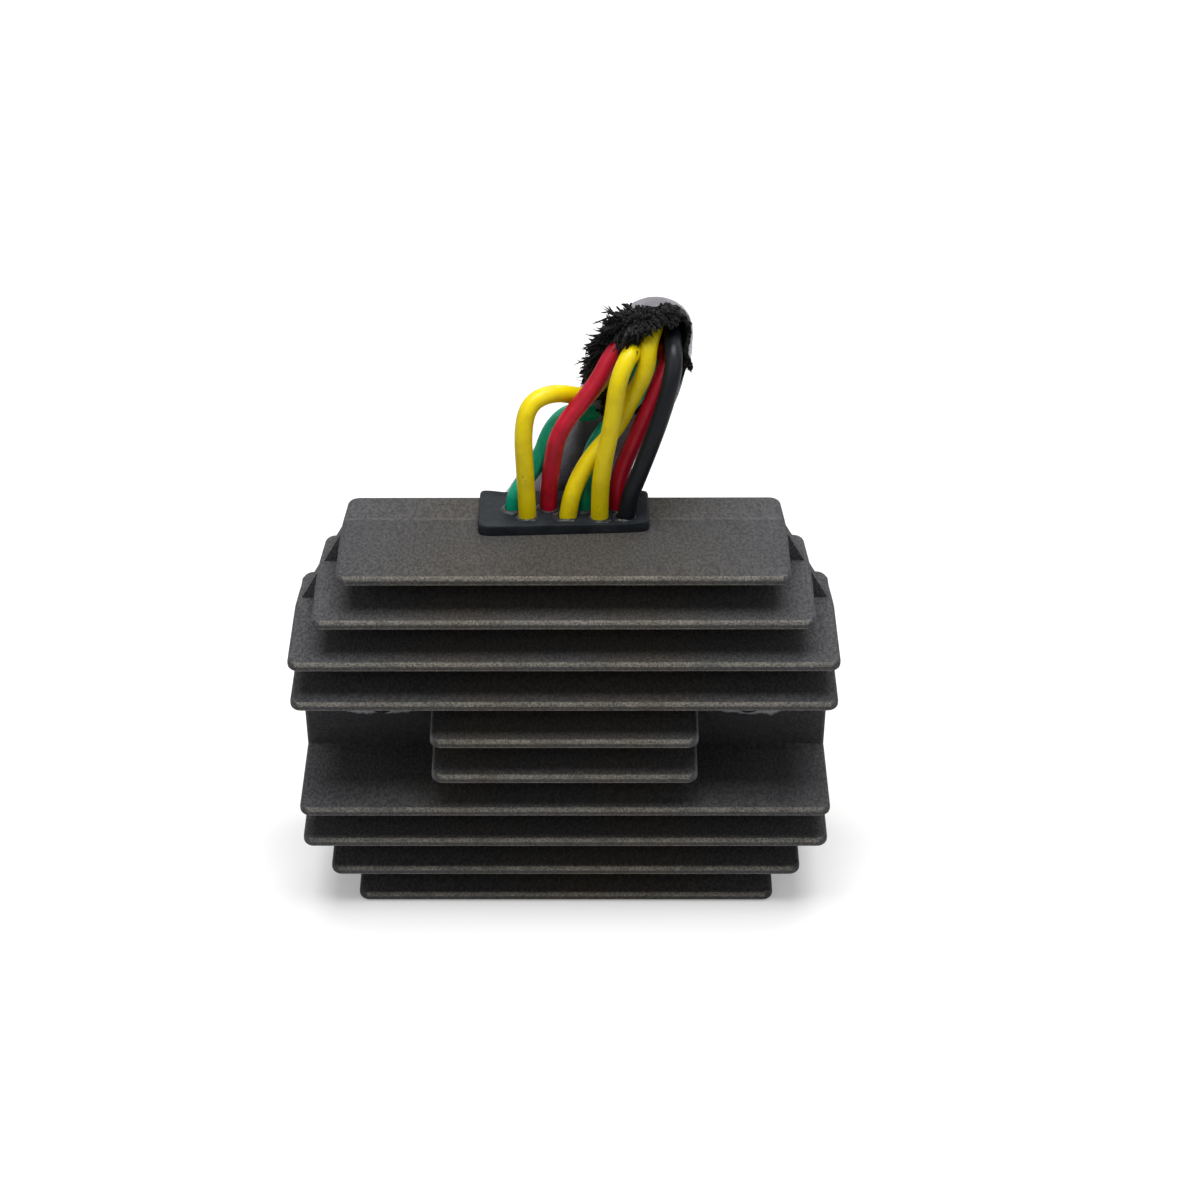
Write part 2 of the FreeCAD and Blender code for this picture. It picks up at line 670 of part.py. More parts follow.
def make_connector():
    """The eight-way connector body, lying on the surface with its mating face towards +X."""
    block = rounded(
        "connector_block",
        box("connector_blank", "sizes.plug_start", f"{REAR} + sizes.plug_near", "0",
            "sizes.plug_long", "sizes.plug_wide", "sizes.plug_tall"),
        lambda edge, shape: runs_along(edge, X), 1.2,
    )
    latch = box("connector_latch", "sizes.plug_start + sizes.plug_long - sizes.latch_long",
                f"{REAR} + sizes.plug_near + (sizes.plug_wide - sizes.latch_wide) / 2",
                "sizes.plug_tall - 0.5", "sizes.latch_long", "sizes.latch_wide", "sizes.latch_tall + 0.5")
    solid = group("Part::MultiFuse", "connector_solid", [block, latch])
    hollows = []
    for column, row, _ in slot_names():
        middle_y = f"{REAR} + sizes.plug_near + sizes.slot_inset + {column} * sizes.slot_pitch"
        slot = box(f"slot_{row}_{column}", "sizes.slot_start", f"{middle_y} - sizes.slot_wide / 2",
                   f"sizes.{row} - sizes.slot_tall / 2",
                   "sizes.plug_start + sizes.plug_long - sizes.slot_start + 1",
                   "sizes.slot_wide", "sizes.slot_tall")
        entry = doc.addObject("Part::Cylinder", f"entry_{row}_{column}")
        entry.Placement.Rotation = Rotation(Y, 90)
        bind(entry, x="sizes.plug_start - 1", y=middle_y, z=f"sizes.{row}",
             Radius="sizes.lead_across / 2", Height="sizes.slot_start - sizes.plug_start + 1.5")
        hollows += [slot, entry]
    return cut("connector_body", solid, group("Part::MultiFuse", "connector_hollows", hollows))


def make_terminals():
    """Folded brass receptacles, one behind each lead's end."""
    made = []
    for column, row, _ in slot_names():
        middle_y = f"{REAR} + sizes.plug_near + sizes.slot_inset + {column} * sizes.slot_pitch"
        fit = "sizes.terminal_fit"
        wall = "sizes.terminal_wall"
        outer = box(f"terminal_outer_{row}_{column}", "sizes.slot_start",
                    f"{middle_y} - sizes.slot_wide / 2 + {fit}", f"sizes.{row} - sizes.slot_tall / 2 + {fit}",
                    "sizes.terminal_long", f"sizes.slot_wide - 2 * {fit}", f"sizes.slot_tall - 2 * {fit}")
        inner = box(f"terminal_inner_{row}_{column}", f"sizes.slot_start + 2 * {wall}",
                    f"{middle_y} - sizes.slot_wide / 2 + {fit} + {wall}",
                    f"sizes.{row} - sizes.slot_tall / 2 + {fit} + {wall}",
                    "sizes.terminal_long", f"sizes.slot_wide - 2 * {fit} - 2 * {wall}",
                    f"sizes.slot_tall - 2 * {fit} - 2 * {wall}")
        made.append(cut(f"terminal_{row}_{column}", outer, inner))
    return group("Part::Compound", "connector_terminals", made)


def make_part():
    """Every sub-part under the name of its own file."""
    leads = make_leads()
    board = make_board()
    devices = [make_device(f"thyristor_{n + 2}", n, "sizes.thyristor_low") for n in (-1, 0, 1)]
    devices += [make_device(f"diode_{n + 2}", n, "sizes.diode_low") for n in (-1, 0, 1)]
    small = [
        make_chip(),
        upright("capacitor", "sizes.capacitor_across", "sizes.capacitor_tall", "-sizes.device_pitch",
                "sizes.board_back + sizes.board_thick", "sizes.board_high - sizes.capacitor_across"),
        lying("reference_diode", "sizes.reference_across", "sizes.reference_long",
              "-sizes.device_pitch - sizes.reference_long", MIDDLE),
        make_resistors(),
        make_tabs(),
    ]
    inside = [board] + devices + small
    housing = make_housing()
    outside = [housing, make_grommet(housing, leads), make_sleeve(), make_connector(), make_terminals()]
    return outside + [make_potting(inside + leads)] + inside + leads


parts = make_part()
doc.recompute()

# Nothing is written unless every object of the document is sound.
for obj in doc.Objects:
    if any(word in obj.State for word in ("Invalid", "Error")):
        raise RuntimeError(f"{obj.Name} failed: {obj.State}")
for part in parts:
    part.Label = part.Name
    if part.Shape.isNull() or not part.Shape.isValid():
        raise RuntimeError(f"{part.Name} has no valid shape")

os.makedirs("parts", exist_ok=True)
for part in parts:
    part.Shape.exportStep(f"parts/{part.Label}.step")
print(f"{len(parts)} parts written")
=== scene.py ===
"""A used voltage regulator rectifier: finned casting, rubber grommet, eight leads and their torn sleeve."""
import json
import math

import bpy
import numpy as np
from mathutils import Matrix, Vector


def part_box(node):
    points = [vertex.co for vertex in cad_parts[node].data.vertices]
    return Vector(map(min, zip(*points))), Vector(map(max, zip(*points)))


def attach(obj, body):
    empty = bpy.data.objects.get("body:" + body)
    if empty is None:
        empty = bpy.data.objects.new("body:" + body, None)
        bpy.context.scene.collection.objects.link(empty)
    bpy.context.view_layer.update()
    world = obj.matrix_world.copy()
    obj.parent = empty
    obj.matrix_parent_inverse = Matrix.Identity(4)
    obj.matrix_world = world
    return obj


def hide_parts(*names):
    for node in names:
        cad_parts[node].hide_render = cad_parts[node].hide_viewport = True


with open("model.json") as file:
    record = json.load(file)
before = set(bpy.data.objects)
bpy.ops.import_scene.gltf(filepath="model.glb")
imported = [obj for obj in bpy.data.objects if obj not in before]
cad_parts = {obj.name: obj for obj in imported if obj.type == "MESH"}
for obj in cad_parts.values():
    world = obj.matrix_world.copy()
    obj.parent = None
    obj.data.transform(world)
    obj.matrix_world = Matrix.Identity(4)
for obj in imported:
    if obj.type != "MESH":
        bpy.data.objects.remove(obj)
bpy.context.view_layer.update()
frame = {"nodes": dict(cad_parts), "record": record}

_, CASTING_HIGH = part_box("housing")
REAR = CASTING_HIGH.y
MM = 0.001


def mm(*values):
    return tuple(v * MM for v in values)


# Places on the casting, in metres: the parting line of its mould, the top fin's crown, the highest that the
# bolt recesses reach, the rounded ends of the two short fins, and the pale oblong round each bolt hole.
PARTING = REAR - 8.5 * MM
CROWN_FROM, CROWN_FULL = mm(79.2, 79.8)
RECESS_TOP, RECESS_FULL = mm(52.2, 51.0)
SHORT_END_IN, SHORT_END_FULL, SHORT_END_LAST, SHORT_END_OUT = mm(25.0, 26.5, 28.5, 30.0)
SPOT_X, SPOT_Z, SPOT_FLAT, SPOT_RADIUS = mm(37.3, 43.4, 4.5, 5.5)
SPOT_SQUEEZE = 0.78


# Finishes. Every colour is written as it shows on a screen, from 0 to 255.

def ink(red, green, blue):
    """A screen colour as the linear values that a shader takes."""
    shares = [c / 255 for c in (red, green, blue)]
    return tuple(s / 12.92 if s <= 0.04045 else ((s + 0.055) / 1.055) ** 2.4 for s in shares) + (1.0,)


class Finish:
    """A material and short ways to add nodes to it. Inputs may be numbers, colours or nodes' outputs."""

    def __init__(self, name, **settings):
        self.material = bpy.data.materials.new(name)
        self.material.use_nodes = True
        self.tree = self.material.node_tree
        self.shader = self.tree.nodes["Principled BSDF"]
        self.coords = self.tree.nodes.new("ShaderNodeTexCoord")
        self.place = self.coords.outputs["Object"]
        self.facing = self.coords.outputs["Normal"]
        self.map = self.coords.outputs["UV"]
        for key, value in settings.items():
            self.feed(self.shader, key.replace("_", " "), value)

    def feed(self, node, key, value):
        socket = node.inputs[key]
        if isinstance(value, bpy.types.NodeSocket):
            self.tree.links.new(value, socket)
        else:
            socket.default_value = value

    def math(self, operation, a, b=0.5, c=0.5, clamp=False):
        node = self.tree.nodes.new("ShaderNodeMath")
        node.operation = operation
        node.use_clamp = clamp
        for n, value in enumerate((a, b, c)):
            self.feed(node, n, value)
        return node.outputs[0]

    def times(self, first, *others):
        """The product of two or more shares."""
        for other in others:
            first = self.math("MULTIPLY", first, other)
        return first

    def parts(self, vector):
        node = self.tree.nodes.new("ShaderNodeSeparateXYZ")
        self.feed(node, 0, vector)
        return node.outputs

    def stretched(self, scale):
        """The place with each axis scaled, so that a pattern on it is drawn out or pressed together."""
        node = self.tree.nodes.new("ShaderNodeMapping")
        self.feed(node, "Vector", self.place)
        self.feed(node, "Scale", scale)
        return node.outputs[0]

    def noise(self, scale, detail, rough, vector=None):
        node = self.tree.nodes.new("ShaderNodeTexNoise")
        self.feed(node, "Vector", self.place if vector is None else vector)
        for key, value in (("Scale", scale), ("Detail", detail), ("Roughness", rough)):
            self.feed(node, key, value)
        return node.outputs["Fac"]

    def cells(self, scale):
        """The distance to the nearest of many scattered points."""
        node = self.tree.nodes.new("ShaderNodeTexVoronoi")
        self.feed(node, "Vector", self.place)
        self.feed(node, "Scale", scale)
        return node.outputs["Distance"]

    def rise(self, value, low, high, to_low=0.0, to_high=1.0):
        """A smooth step from one value to another."""
        node = self.tree.nodes.new("ShaderNodeMapRange")
        node.interpolation_type = "SMOOTHSTEP"
        for key, given in (("Value", value), ("From Min", low), ("From Max", high),
                           ("To Min", to_low), ("To Max", to_high)):
            self.feed(node, key, given)
        return node.outputs["Result"]

    def mix(self, share, a, b):
        node = self.tree.nodes.new("ShaderNodeMix")
        node.data_type = "RGBA"
        self.feed(node, "Factor", share)
        self.feed(node, 6, a)
        self.feed(node, 7, b)
        return node.outputs[2]

    def bump(self, height, distance, strength):
        node = self.tree.nodes.new("ShaderNodeBump")
        self.feed(node, "Height", height)
        self.feed(node, "Distance", distance)
        self.feed(node, "Strength", strength)
        return node.outputs[0]

    def finish(self, **settings):
        for key, value in settings.items():
            self.feed(self.shader, key.replace("_", " "), value)
        return self.material


def tip_wear(f, patches):
    """The share of rubbed paint along the front fin tips: a dotted band on the rounded upper edge of each
    and one on its rounded lower edge, both told from the faces by the way that the surface faces."""
    nx, ny, nz = f.parts(f.facing)
    ahead = f.rise(ny, -0.1, -0.3)
    upper = f.times(f.rise(nz, 0.02, 0.25), f.rise(nz, 0.995, 0.95), ahead)
    lower = f.times(f.rise(nz, -0.12, -0.35), f.rise(nz, -0.99, -0.93), ahead)
    line = f.times(f.math("ADD", upper, lower), f.rise(f.math("ABSOLUTE", nx), 0.35, 0.15))
    dots = f.rise(f.noise(2900.0, 2.0, 0.6), 0.4, 0.6, 0.2)
    return f.math("MULTIPLY", line, f.times(dots, patches), clamp=True)


def short_fin_end_highlight(f, across):
    """The share of a painted highlight on the rounded end edges of the two short fins."""
    sideways = f.math("ABSOLUTE", f.parts(f.facing)[0])
    edge = f.times(f.rise(sideways, 0.25, 0.5), f.rise(sideways, 0.99, 0.93))
    return f.times(edge, f.rise(across, SHORT_END_OUT, SHORT_END_LAST),
                   f.rise(across, SHORT_END_IN, SHORT_END_FULL))


def pale_bolt_oblong(f, across, y, z, facing_front):
    """The share of a pale colour round the bolt holes: a flattened oblong with a slightly ragged edge.

    The distance is sqrt(dx^2 + dz^2), where dx is how far a point lies sideways past the flat part, and dz
    its height over the spot's middle, pressed together. Some noise is added."""
    sideways = f.math("SUBTRACT", f.math("ABSOLUTE", f.math("SUBTRACT", across, SPOT_X)), SPOT_FLAT)
    dx = f.math("MAXIMUM", sideways, 0.0)
    dz = f.math("MULTIPLY", f.math("SUBTRACT", z, SPOT_Z), SPOT_SQUEEZE)
    away = f.math("SQRT", f.math("ADD", f.times(dx, dx), f.times(dz, dz)))
    away = f.math("MULTIPLY_ADD", f.noise(420.0, 2.0, 0.5), 1.6 * MM, away)
    return f.times(f.rise(away, SPOT_RADIUS + 0.5 * MM, SPOT_RADIUS), f.rise(facing_front, -0.8, -0.95),
                   f.rise(y, 0.0, MM))


def crown_painted_light(f, paint, patches, y, z, facing_up):
    """The top fin's crown, with painted light: a broken pale painted highlight along the parting line, and
    painted shade, a little darker just in front of it and lightening towards the tip."""
    crown = f.times(f.rise(z, CROWN_FROM, CROWN_FULL), f.rise(facing_up, 0.6, 0.9))
    start, fade = PARTING - MM, 42.0
    ahead = f.math("MULTIPLY", f.rise(y, PARTING, start),
                   f.math("MULTIPLY_ADD", y, fade, 1.0 - fade * start), clamp=True)
    # Painted shade just in front of the parting line, fading towards the tip.
    paint = f.mix(f.times(ahead, crown, 0.3), paint, ink(40, 40, 42))
    off_line = f.math("ABSOLUTE", f.math("SUBTRACT", y, PARTING))
    # Painted highlight along the parting line.
    crease_painted_highlight = f.times(f.rise(off_line, 0.5 * MM, 0.1 * MM), crown)
    return f.mix(f.times(crease_painted_highlight, f.rise(patches, 0.6, 0.9, 0.04, 0.24)), paint, ink(108, 108, 110))


def casting_paint():
    """Thin matte paint over a sand-textured die casting: warmer in the middle, specked, rubbed along the
    fin tips and pale round the bolt holes, with painted light: painted shade on the walls of the bolt
    recesses, a painted highlight on the short fins' rounded ends, and a painted highlight and painted shade
    on the top fin's crown."""
    f = Finish("casting_paint")
    grain = f.stretched((1.0, 0.6, 1.0))
    leather = f.noise(2100.0, 3.0, 0.6, grain)
    sand = f.noise(3900.0, 3.0, 0.6, grain)
    blotch = f.noise(42.0, 3.0, 0.55)
    patches = f.rise(f.noise(240.0, 3.0, 0.6), 0.3, 0.6, 0.5)
    _, ny, nz = f.parts(f.facing)
    x, y, z = f.parts(f.place)
    across = f.math("ABSOLUTE", x)
    warm = f.times(f.rise(across, 46.0 * MM, 12.0 * MM), f.rise(blotch, 0.34, 0.62, 0.35, 1.0))
    cool_paint = f.mix(blotch, ink(68, 68, 70), ink(80, 80, 82))
    warm_paint = f.mix(blotch, ink(64, 61, 55), ink(76, 71, 63))
    paint = f.mix(warm, cool_paint, warm_paint)
    paint = f.mix(f.rise(leather, 0.4, 0.6), f.mix(0.68, paint, ink(36, 36, 38)), paint)
    # Painted highlight and painted shade on the top fin's crown.
    paint = crown_painted_light(f, paint, patches, y, z, nz)
    speck = f.rise(f.noise(2100.0, 2.0, 0.5), 0.66, 0.74)
    # Painted shade: a mask of the front-facing walls low and deep in the bolt recesses.
    recess_painted_shade = f.times(f.rise(z, RECESS_TOP, RECESS_FULL), f.rise(ny, -0.5, -0.8), f.rise(y, -4.0 * MM, MM))
    tone = f.mix(f.times(speck, 0.25), paint, ink(142, 138, 130))
    tone = f.mix(f.times(tip_wear(f, patches), 0.64), tone, ink(142, 137, 126))
    # Painted shade, dark grey, on the recess walls.
    tone = f.mix(f.times(recess_painted_shade, 0.45), tone, ink(34, 34, 37))
    # Painted highlight on the rounded ends of the two short fins.
    tone = f.mix(f.times(short_fin_end_highlight(f, across), 0.6), tone, ink(140, 141, 146))
    tone = f.mix(f.times(pale_bolt_oblong(f, across, y, z, ny), 0.85), tone, ink(172, 174, 180))
    height = f.math("ADD", leather, f.times(sand, 0.35))
    return f.finish(Base_Color=tone, Roughness=f.rise(blotch, 0.3, 0.7, 0.66, 0.78),
                    Specular_IOR_Level=0.22, Normal=f.bump(height, 0.27 * MM, 1.0))


def grommet_rubber():
    """Blue-black rubber with a faint bloom and a few dusty marks."""
    f = Finish("grommet_rubber")
    cloud = f.noise(160.0, 4.0, 0.6)
    dust = f.rise(f.noise(1300.0, 3.0, 0.6), 0.65, 0.73)
    tone = f.mix(f.rise(cloud, 0.35, 0.7), ink(25, 28, 32), ink(38, 42, 46))
    tone = f.mix(f.times(dust, 0.22), tone, ink(112, 114, 112))
    bumps = f.math("ADD", f.noise(700.0, 3.0, 0.6), f.times(cloud, 1.5))
    return f.finish(Base_Color=tone, Roughness=f.rise(cloud, 0.3, 0.7, 0.5, 0.66),
                    Specular_IOR_Level=0.08, Normal=f.bump(bumps, 0.16 * MM, 0.8))


def insulation(name, body, shade, rough=0.32, shine=0.28):
    """Extruded lead insulation: even colour, soft sheen, smudges and the odd nick."""
    f = Finish(name)
    smudge = f.noise(240.0, 4.0, 0.6)
    nick = f.rise(f.noise(1500.0, 1.0, 0.4), 0.73, 0.76)
    tone = f.mix(f.rise(smudge, 0.4, 0.72), body, shade)
    tone = f.mix(f.times(nick, 0.5), tone, f.mix(0.6, shade, ink(60, 50, 40)))
    dents = f.noise(420.0, 2.0, 0.5)
    return f.finish(Base_Color=tone, Roughness=f.rise(smudge, 0.3, 0.75, rough, rough + 0.16),
                    Specular_IOR_Level=shine, Normal=f.bump(dents, 0.12 * MM, 0.5))


def loom_weave(name, dark, pale, worn):
    """Woven sleeving: fine crossed yarns round and along the sleeve, under a dusty nap."""
    f = Finish(name, Sheen_Weight=1.0, Sheen_Roughness=0.45, Sheen_Tint=ink(250, 247, 255))
    across, along, _ = f.parts(f.map)
    turns, picks = 84.0, 260.0
    warp = f.math("SINE", f.times(across, turns * math.tau))
    weft = f.math("SINE", f.times(along, picks * math.tau))
    thread = f.math("ADD", f.times(warp, weft, 0.5), 0.5)
    fuzz = f.noise(2600.0, 3.0, 0.7)
    cloud = f.noise(130.0, 3.0, 0.55)
    tone = f.mix(f.rise(thread, 0.1, 0.95), dark, pale)
    tone = f.mix(f.times(f.rise(cloud, 0.42, 0.7), worn), tone, ink(142, 138, 145))
    height = f.math("ADD", f.times(thread, 0.5), fuzz)
    return f.finish(Base_Color=tone, Roughness=0.92, Specular_IOR_Level=0.15,
                    Normal=f.bump(height, 0.15 * MM, 0.9))


def frayed_yarn(name, dark, pale):
    """Matted black yarn: fibres along the strand, paler where the light catches the fluff."""
    f = Finish(name, Sheen_Weight=0.12, Sheen_Roughness=0.4)
    fuzz = f.noise(1700.0, 4.0, 0.7)
    fibre = f.noise(6000.0, 2.0, 0.6)
    height = f.math("ADD", fuzz, f.times(fibre, 0.4))
    return f.finish(Base_Color=f.mix(f.rise(fuzz, 0.42, 0.66), dark, pale), Roughness=0.9,
                    Specular_IOR_Level=0.12, Normal=f.bump(height, 0.14 * MM, 1.0))


def sealant():
    """A thin skin of clear sealer that turned cloudy where it dried."""
    f = Finish("lead_sealant")
    cloud = f.noise(900.0, 3.0, 0.6)
    tone = f.mix(f.rise(cloud, 0.5, 0.68), ink(32, 35, 37), ink(104, 102, 95))
    return f.finish(Base_Color=tone, Roughness=0.45, Specular_IOR_Level=0.3,
                    Normal=f.bump(cloud, 0.25 * MM, 0.9))


def resin():
    """Poured potting resin: nearly level, slightly rippled, with small pits."""
    f = Finish("potting_resin_finish")
    ripple = f.noise(95.0, 2.0, 0.5)
    pits = f.rise(f.cells(420.0), 0.0, 0.09)
    height = f.math("ADD", f.times(ripple, 1.2), f.times(pits, 0.25))
    return f.finish(Base_Color=f.mix(ripple, ink(22, 22, 23), ink(38, 37, 36)),
                    Roughness=f.rise(ripple, 0.3, 0.7, 0.22, 0.38), Normal=f.bump(height, 0.4 * MM, 0.5))


def nylon():
    """Moulded natural nylon, a little yellowed and scuffed."""
    f = Finish("connector_nylon", Subsurface_Weight=0.08, Subsurface_Scale=0.002)
    cloud = f.noise(120.0, 3.0, 0.5)
    scuff = f.rise(f.noise(900.0, 3.0, 0.6, f.stretched((1.0, 6.0, 6.0))), 0.62, 0.75)
    tone = f.mix(cloud, ink(196, 190, 172), ink(214, 208, 192))
    tone = f.mix(f.times(scuff, 0.35), tone, ink(150, 142, 124))
    return f.finish(Base_Color=tone, Roughness=f.rise(cloud, 0.3, 0.7, 0.4, 0.52),
                    Normal=f.bump(f.noise(1400.0, 2.0, 0.5), 0.06 * MM, 0.6))


def simple(name, low, high, rough, metal=0.0):
    """A plain finish with a little variation, for pieces sealed inside or seen small."""
    f = Finish(name, Metallic=metal)
    cloud = f.noise(300.0, 3.0, 0.55)
    return f.finish(Base_Color=f.mix(cloud, low, high),
                    Roughness=f.rise(cloud, 0.3, 0.7, rough, rough + 0.12),
                    Normal=f.bump(cloud, 0.08 * MM, 0.4))


FINISHES = {
    "casting": casting_paint(),
    "grommet_rubber": grommet_rubber(),
    "resin": resin(),
    "connector_plastic": nylon(),
    "terminal_brass": simple("terminal_brass_finish", ink(176, 146, 84), ink(206, 176, 108), 0.28, 1.0),
    "board": simple("board_laminate", ink(30, 78, 44), ink(40, 98, 56), 0.4),
    "epoxy": simple("device_epoxy", ink(26, 26, 27), ink(38, 38, 39), 0.5),
    "capacitor_can": simple("capacitor_sleeve", ink(30, 34, 56), ink(40, 46, 70), 0.35),
    "resistor_body": simple("resistor_coat", ink(176, 150, 112), ink(196, 172, 134), 0.45),
    "insulation_yellow": insulation("insulation_yellow_finish", ink(222, 200, 0), ink(206, 182, 0)),
    "insulation_red": insulation("insulation_red_finish", ink(178, 14, 42), ink(152, 8, 30)),
    "insulation_green": insulation("insulation_green_finish", ink(0, 158, 122), ink(0, 134, 104)),
    "insulation_black": insulation("insulation_black_finish", ink(19, 22, 27), ink(13, 15, 18),
                                   rough=0.3, shine=0.18),
    "loom_fabric": loom_weave("sleeve_weave", ink(66, 64, 69), ink(108, 104, 111), 0.5),
}
for entry in frame["record"]["subparts"]:
    node = frame["nodes"][entry["node"]]
    node.data.materials.clear()
    node.data.materials.append(FINISHES[entry["material_slot"]])


# Meshes from grids of points.

def grid_faces(rows, columns, closed):
    """Quads between neighbouring rows of a grid; closed joins its last column to its first."""
    wide = columns if closed else columns - 1
    row, column = np.meshgrid(np.arange(rows - 1), np.arange(wide), indexing="ij")
    after = (column + 1) % columns
    quads = np.stack([row * columns + column, row * columns + after,
                      (row + 1) * columns + after, (row + 1) * columns + column], axis=-1)
    return quads.reshape(-1, 4)


def new_piece(name, points, faces, finish, maps=None):
    """An object from arrays of points and faces, with its place in its mesh."""
    mesh = bpy.data.meshes.new(name)
    mesh.from_pydata(np.asarray(points, float).reshape(-1, 3).tolist(), [], [list(f) for f in faces])
    if maps is not None:
        layer = mesh.uv_layers.new(name="UVMap")
        corners = np.empty(len(mesh.loops), dtype=np.int32)
        mesh.loops.foreach_get("vertex_index", corners)
        layer.data.foreach_set("uv", np.asarray(maps, float).reshape(-1, 2)[corners].ravel())
    mesh.materials.append(finish)
    mesh.polygons.foreach_set("use_smooth", [True] * len(mesh.polygons))
    piece = bpy.data.objects.new(name, mesh)
    bpy.context.scene.collection.objects.link(piece)
    mesh.validate()
    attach(piece, "root")
    return piece


def smooth_line(points, steps):
    """The points along a NURBS line that has the given control points, as Blender works them out."""
    curve = nurbs("measured_line", points, steps)
    holder = bpy.data.objects.new("measured_line", curve)
    mesh = bpy.data.meshes.new_from_object(holder)
    line = np.array([v.co for v in mesh.vertices], float)
    bpy.data.objects.remove(holder)
    bpy.data.curves.remove(curve)
    bpy.data.meshes.remove(mesh)
    return line


def nurbs(name, points, steps):
    """A curve with those control points, of order 3 and reaching its first and last one."""
    curve = bpy.data.curves.new(name, "CURVE")
    curve.dimensions = "3D"
    curve.resolution_u = steps
    spline = curve.splines.new("NURBS")
    spline.points.add(len(points) - 1)
    for place, point in zip(spline.points, points):
        place.co = (*point, 1.0)
    spline.order_u = 3
    spline.use_endpoint_u = True
    return curve


def rails(line, first_side):
    """Two unit directions square to a line at each of its points, carried along without twisting."""
    along = np.gradient(line, axis=0)
    along /= np.linalg.norm(along, axis=1, keepdims=True)
    side = np.array(first_side, float)
    sides = []
    for heading in along:
        side = side - heading * side.dot(heading)
        side /= np.linalg.norm(side)
        sides.append(side)
    sides = np.array(sides)
    return sides, np.cross(along, sides), along


# Harness, in millimetres. Points are x, depth behind the mounting face, height. They repeat the control
# points of the model's leads and sleeve, but in the part of each lead that shows, several were moved to
# follow the photograph.

SLEEVE_ROUTE = [
    (17.3, -8.0, 114.75), (17.3, 8.0, 114.75), (9.8, 8.2, 94.8), (-2.0, 8.4, 80.5),
    (-12.7, 8.6, 60.4), (-12.1, 8.8, 37.6), (-0.4, 9.0, 18.1),
]
LANE_RING = 3.95
LEAD_ACROSS = 3.4
LEAD_STEPS, SLEEVE_STEPS = 16, 24
SLEEVE_ACROSS = 13.5
SLEEVE_WALL = 0.75
SLEEVE_SHORT = 7.5
HOOD_LIP = 3.0

# Each lead: colour, place round the bore in degrees, whether it enters the sleeve's bore by the hood or
# from below, straight run before and after the bore, slot of the connector, length, free points.
LEADS = {
    "lead_yellow_left": ("yellow", -77.1, "below", 2.2, 5.0, (14.2, 4.6), 199, [
        (-6.9, -10.0, 72.0), (-6.9, -10.0, 84.0), (-7.3, -9.6, 93.0), (-7.6, -8.6, 101.6),
        (-6.1, -6.8, 106.2), (-1.4, -4.4, 107.0), (4.2, -0.6, 103.4), (6.6, 1.2, 105.4)]),
    "lead_green_left": ("green", -25.7, "below", 2.2, 4.5, (5.8, 4.6), 190, [
        (-9.9, -6.6, 72.0), (-9.9, -6.6, 84.0), (-8.1, -5.8, 87.3), (-4.6, -4.8, 92.0),
        (-2.5, -3.2, 98.2), (1.0, -0.4, 100.4), (5.0, 2.3, 98.4), (8.7, 2.8, 99.6),
        (11.0, 4.2, 104.8)]),
    "lead_green_right": ("green", 25.7, "below", 2.4, 2.0, (5.8, 12.2), 176, [
        (3.8, -6.6, 72.0), (3.8, -6.6, 84.5), (5.2, -2.2, 92.5), (7.8, 0.4, 95.8),
        (10.8, 1.0, 98.8), (14.6, 0.6, 104.2)]),
    "lead_red_right": ("red", 77.1, "below", 5.0, 1.5, (12.2, 12.2), 184, [
        (10.3, -6.6, 72.0), (10.3, -6.6, 84.0), (10.7, -5.9, 90.1), (14.4, -5.4, 99.1),
        (17.7, -5.3, 108.1), (19.9, -3.4, 113.4)]),
    "lead_yellow_right": ("yellow", None, "below", 4.6, 4.5, (18.6, 12.2), 194, [
        (6.8, -10.0, 72.0), (6.8, -10.0, 84.0), (7.2, -10.8, 93.4), (9.3, -10.0, 104.0),
        (10.2, -9.6, 112.5), (12.8, -6.8, 117.2), (14.9, -0.5, 113.2)]),
    "lead_red_left": ("red", -128.6, "hood", 0.5, 5.0, (18.6, 4.6), 212, [
        (-3.1, -6.6, 72.0), (-3.1, -6.6, 84.0), (-2.4, -7.2, 91.5), (-1.0, -7.4, 100.4),
        (6.1, -5.0, 108.5), (9.4, -3.4, 115.2)]),
    "lead_yellow_middle": ("yellow", 180.0, "hood", 0.5, 4.0, (25.0, 4.6), 215, [
        (0.3, -10.0, 72.0), (0.3, -10.0, 84.0), (4.0, -7.6, 93.2), (10.1, -5.4, 99.5),
        (12.9, -6.0, 106.8), (15.5, -6.8, 112.6), (15.9, -5.2, 118.0)]),
    "lead_black": ("black", 128.6, "hood", 5.4, 1.0, (25.0, 12.2), 202, [
        (11.5, -10.0, 72.0), (11.5, -10.0, 84.0), (15.2, -9.8, 94.6), (18.6, -9.4, 105.2),
        (20.6, -8.4, 114.0)]),
}
CONNECTOR_START = 24.0
CONNECTOR_STRAIGHT = 8.0
SLOT_START = 31.0
BEND_SHARE = 0.45


def in_place(points):
    """Points in metres in the model's frame, from x, depth behind the mounting face and height."""
    return np.asarray(points, float) * MM + np.array((0.0, REAR, 0.0))


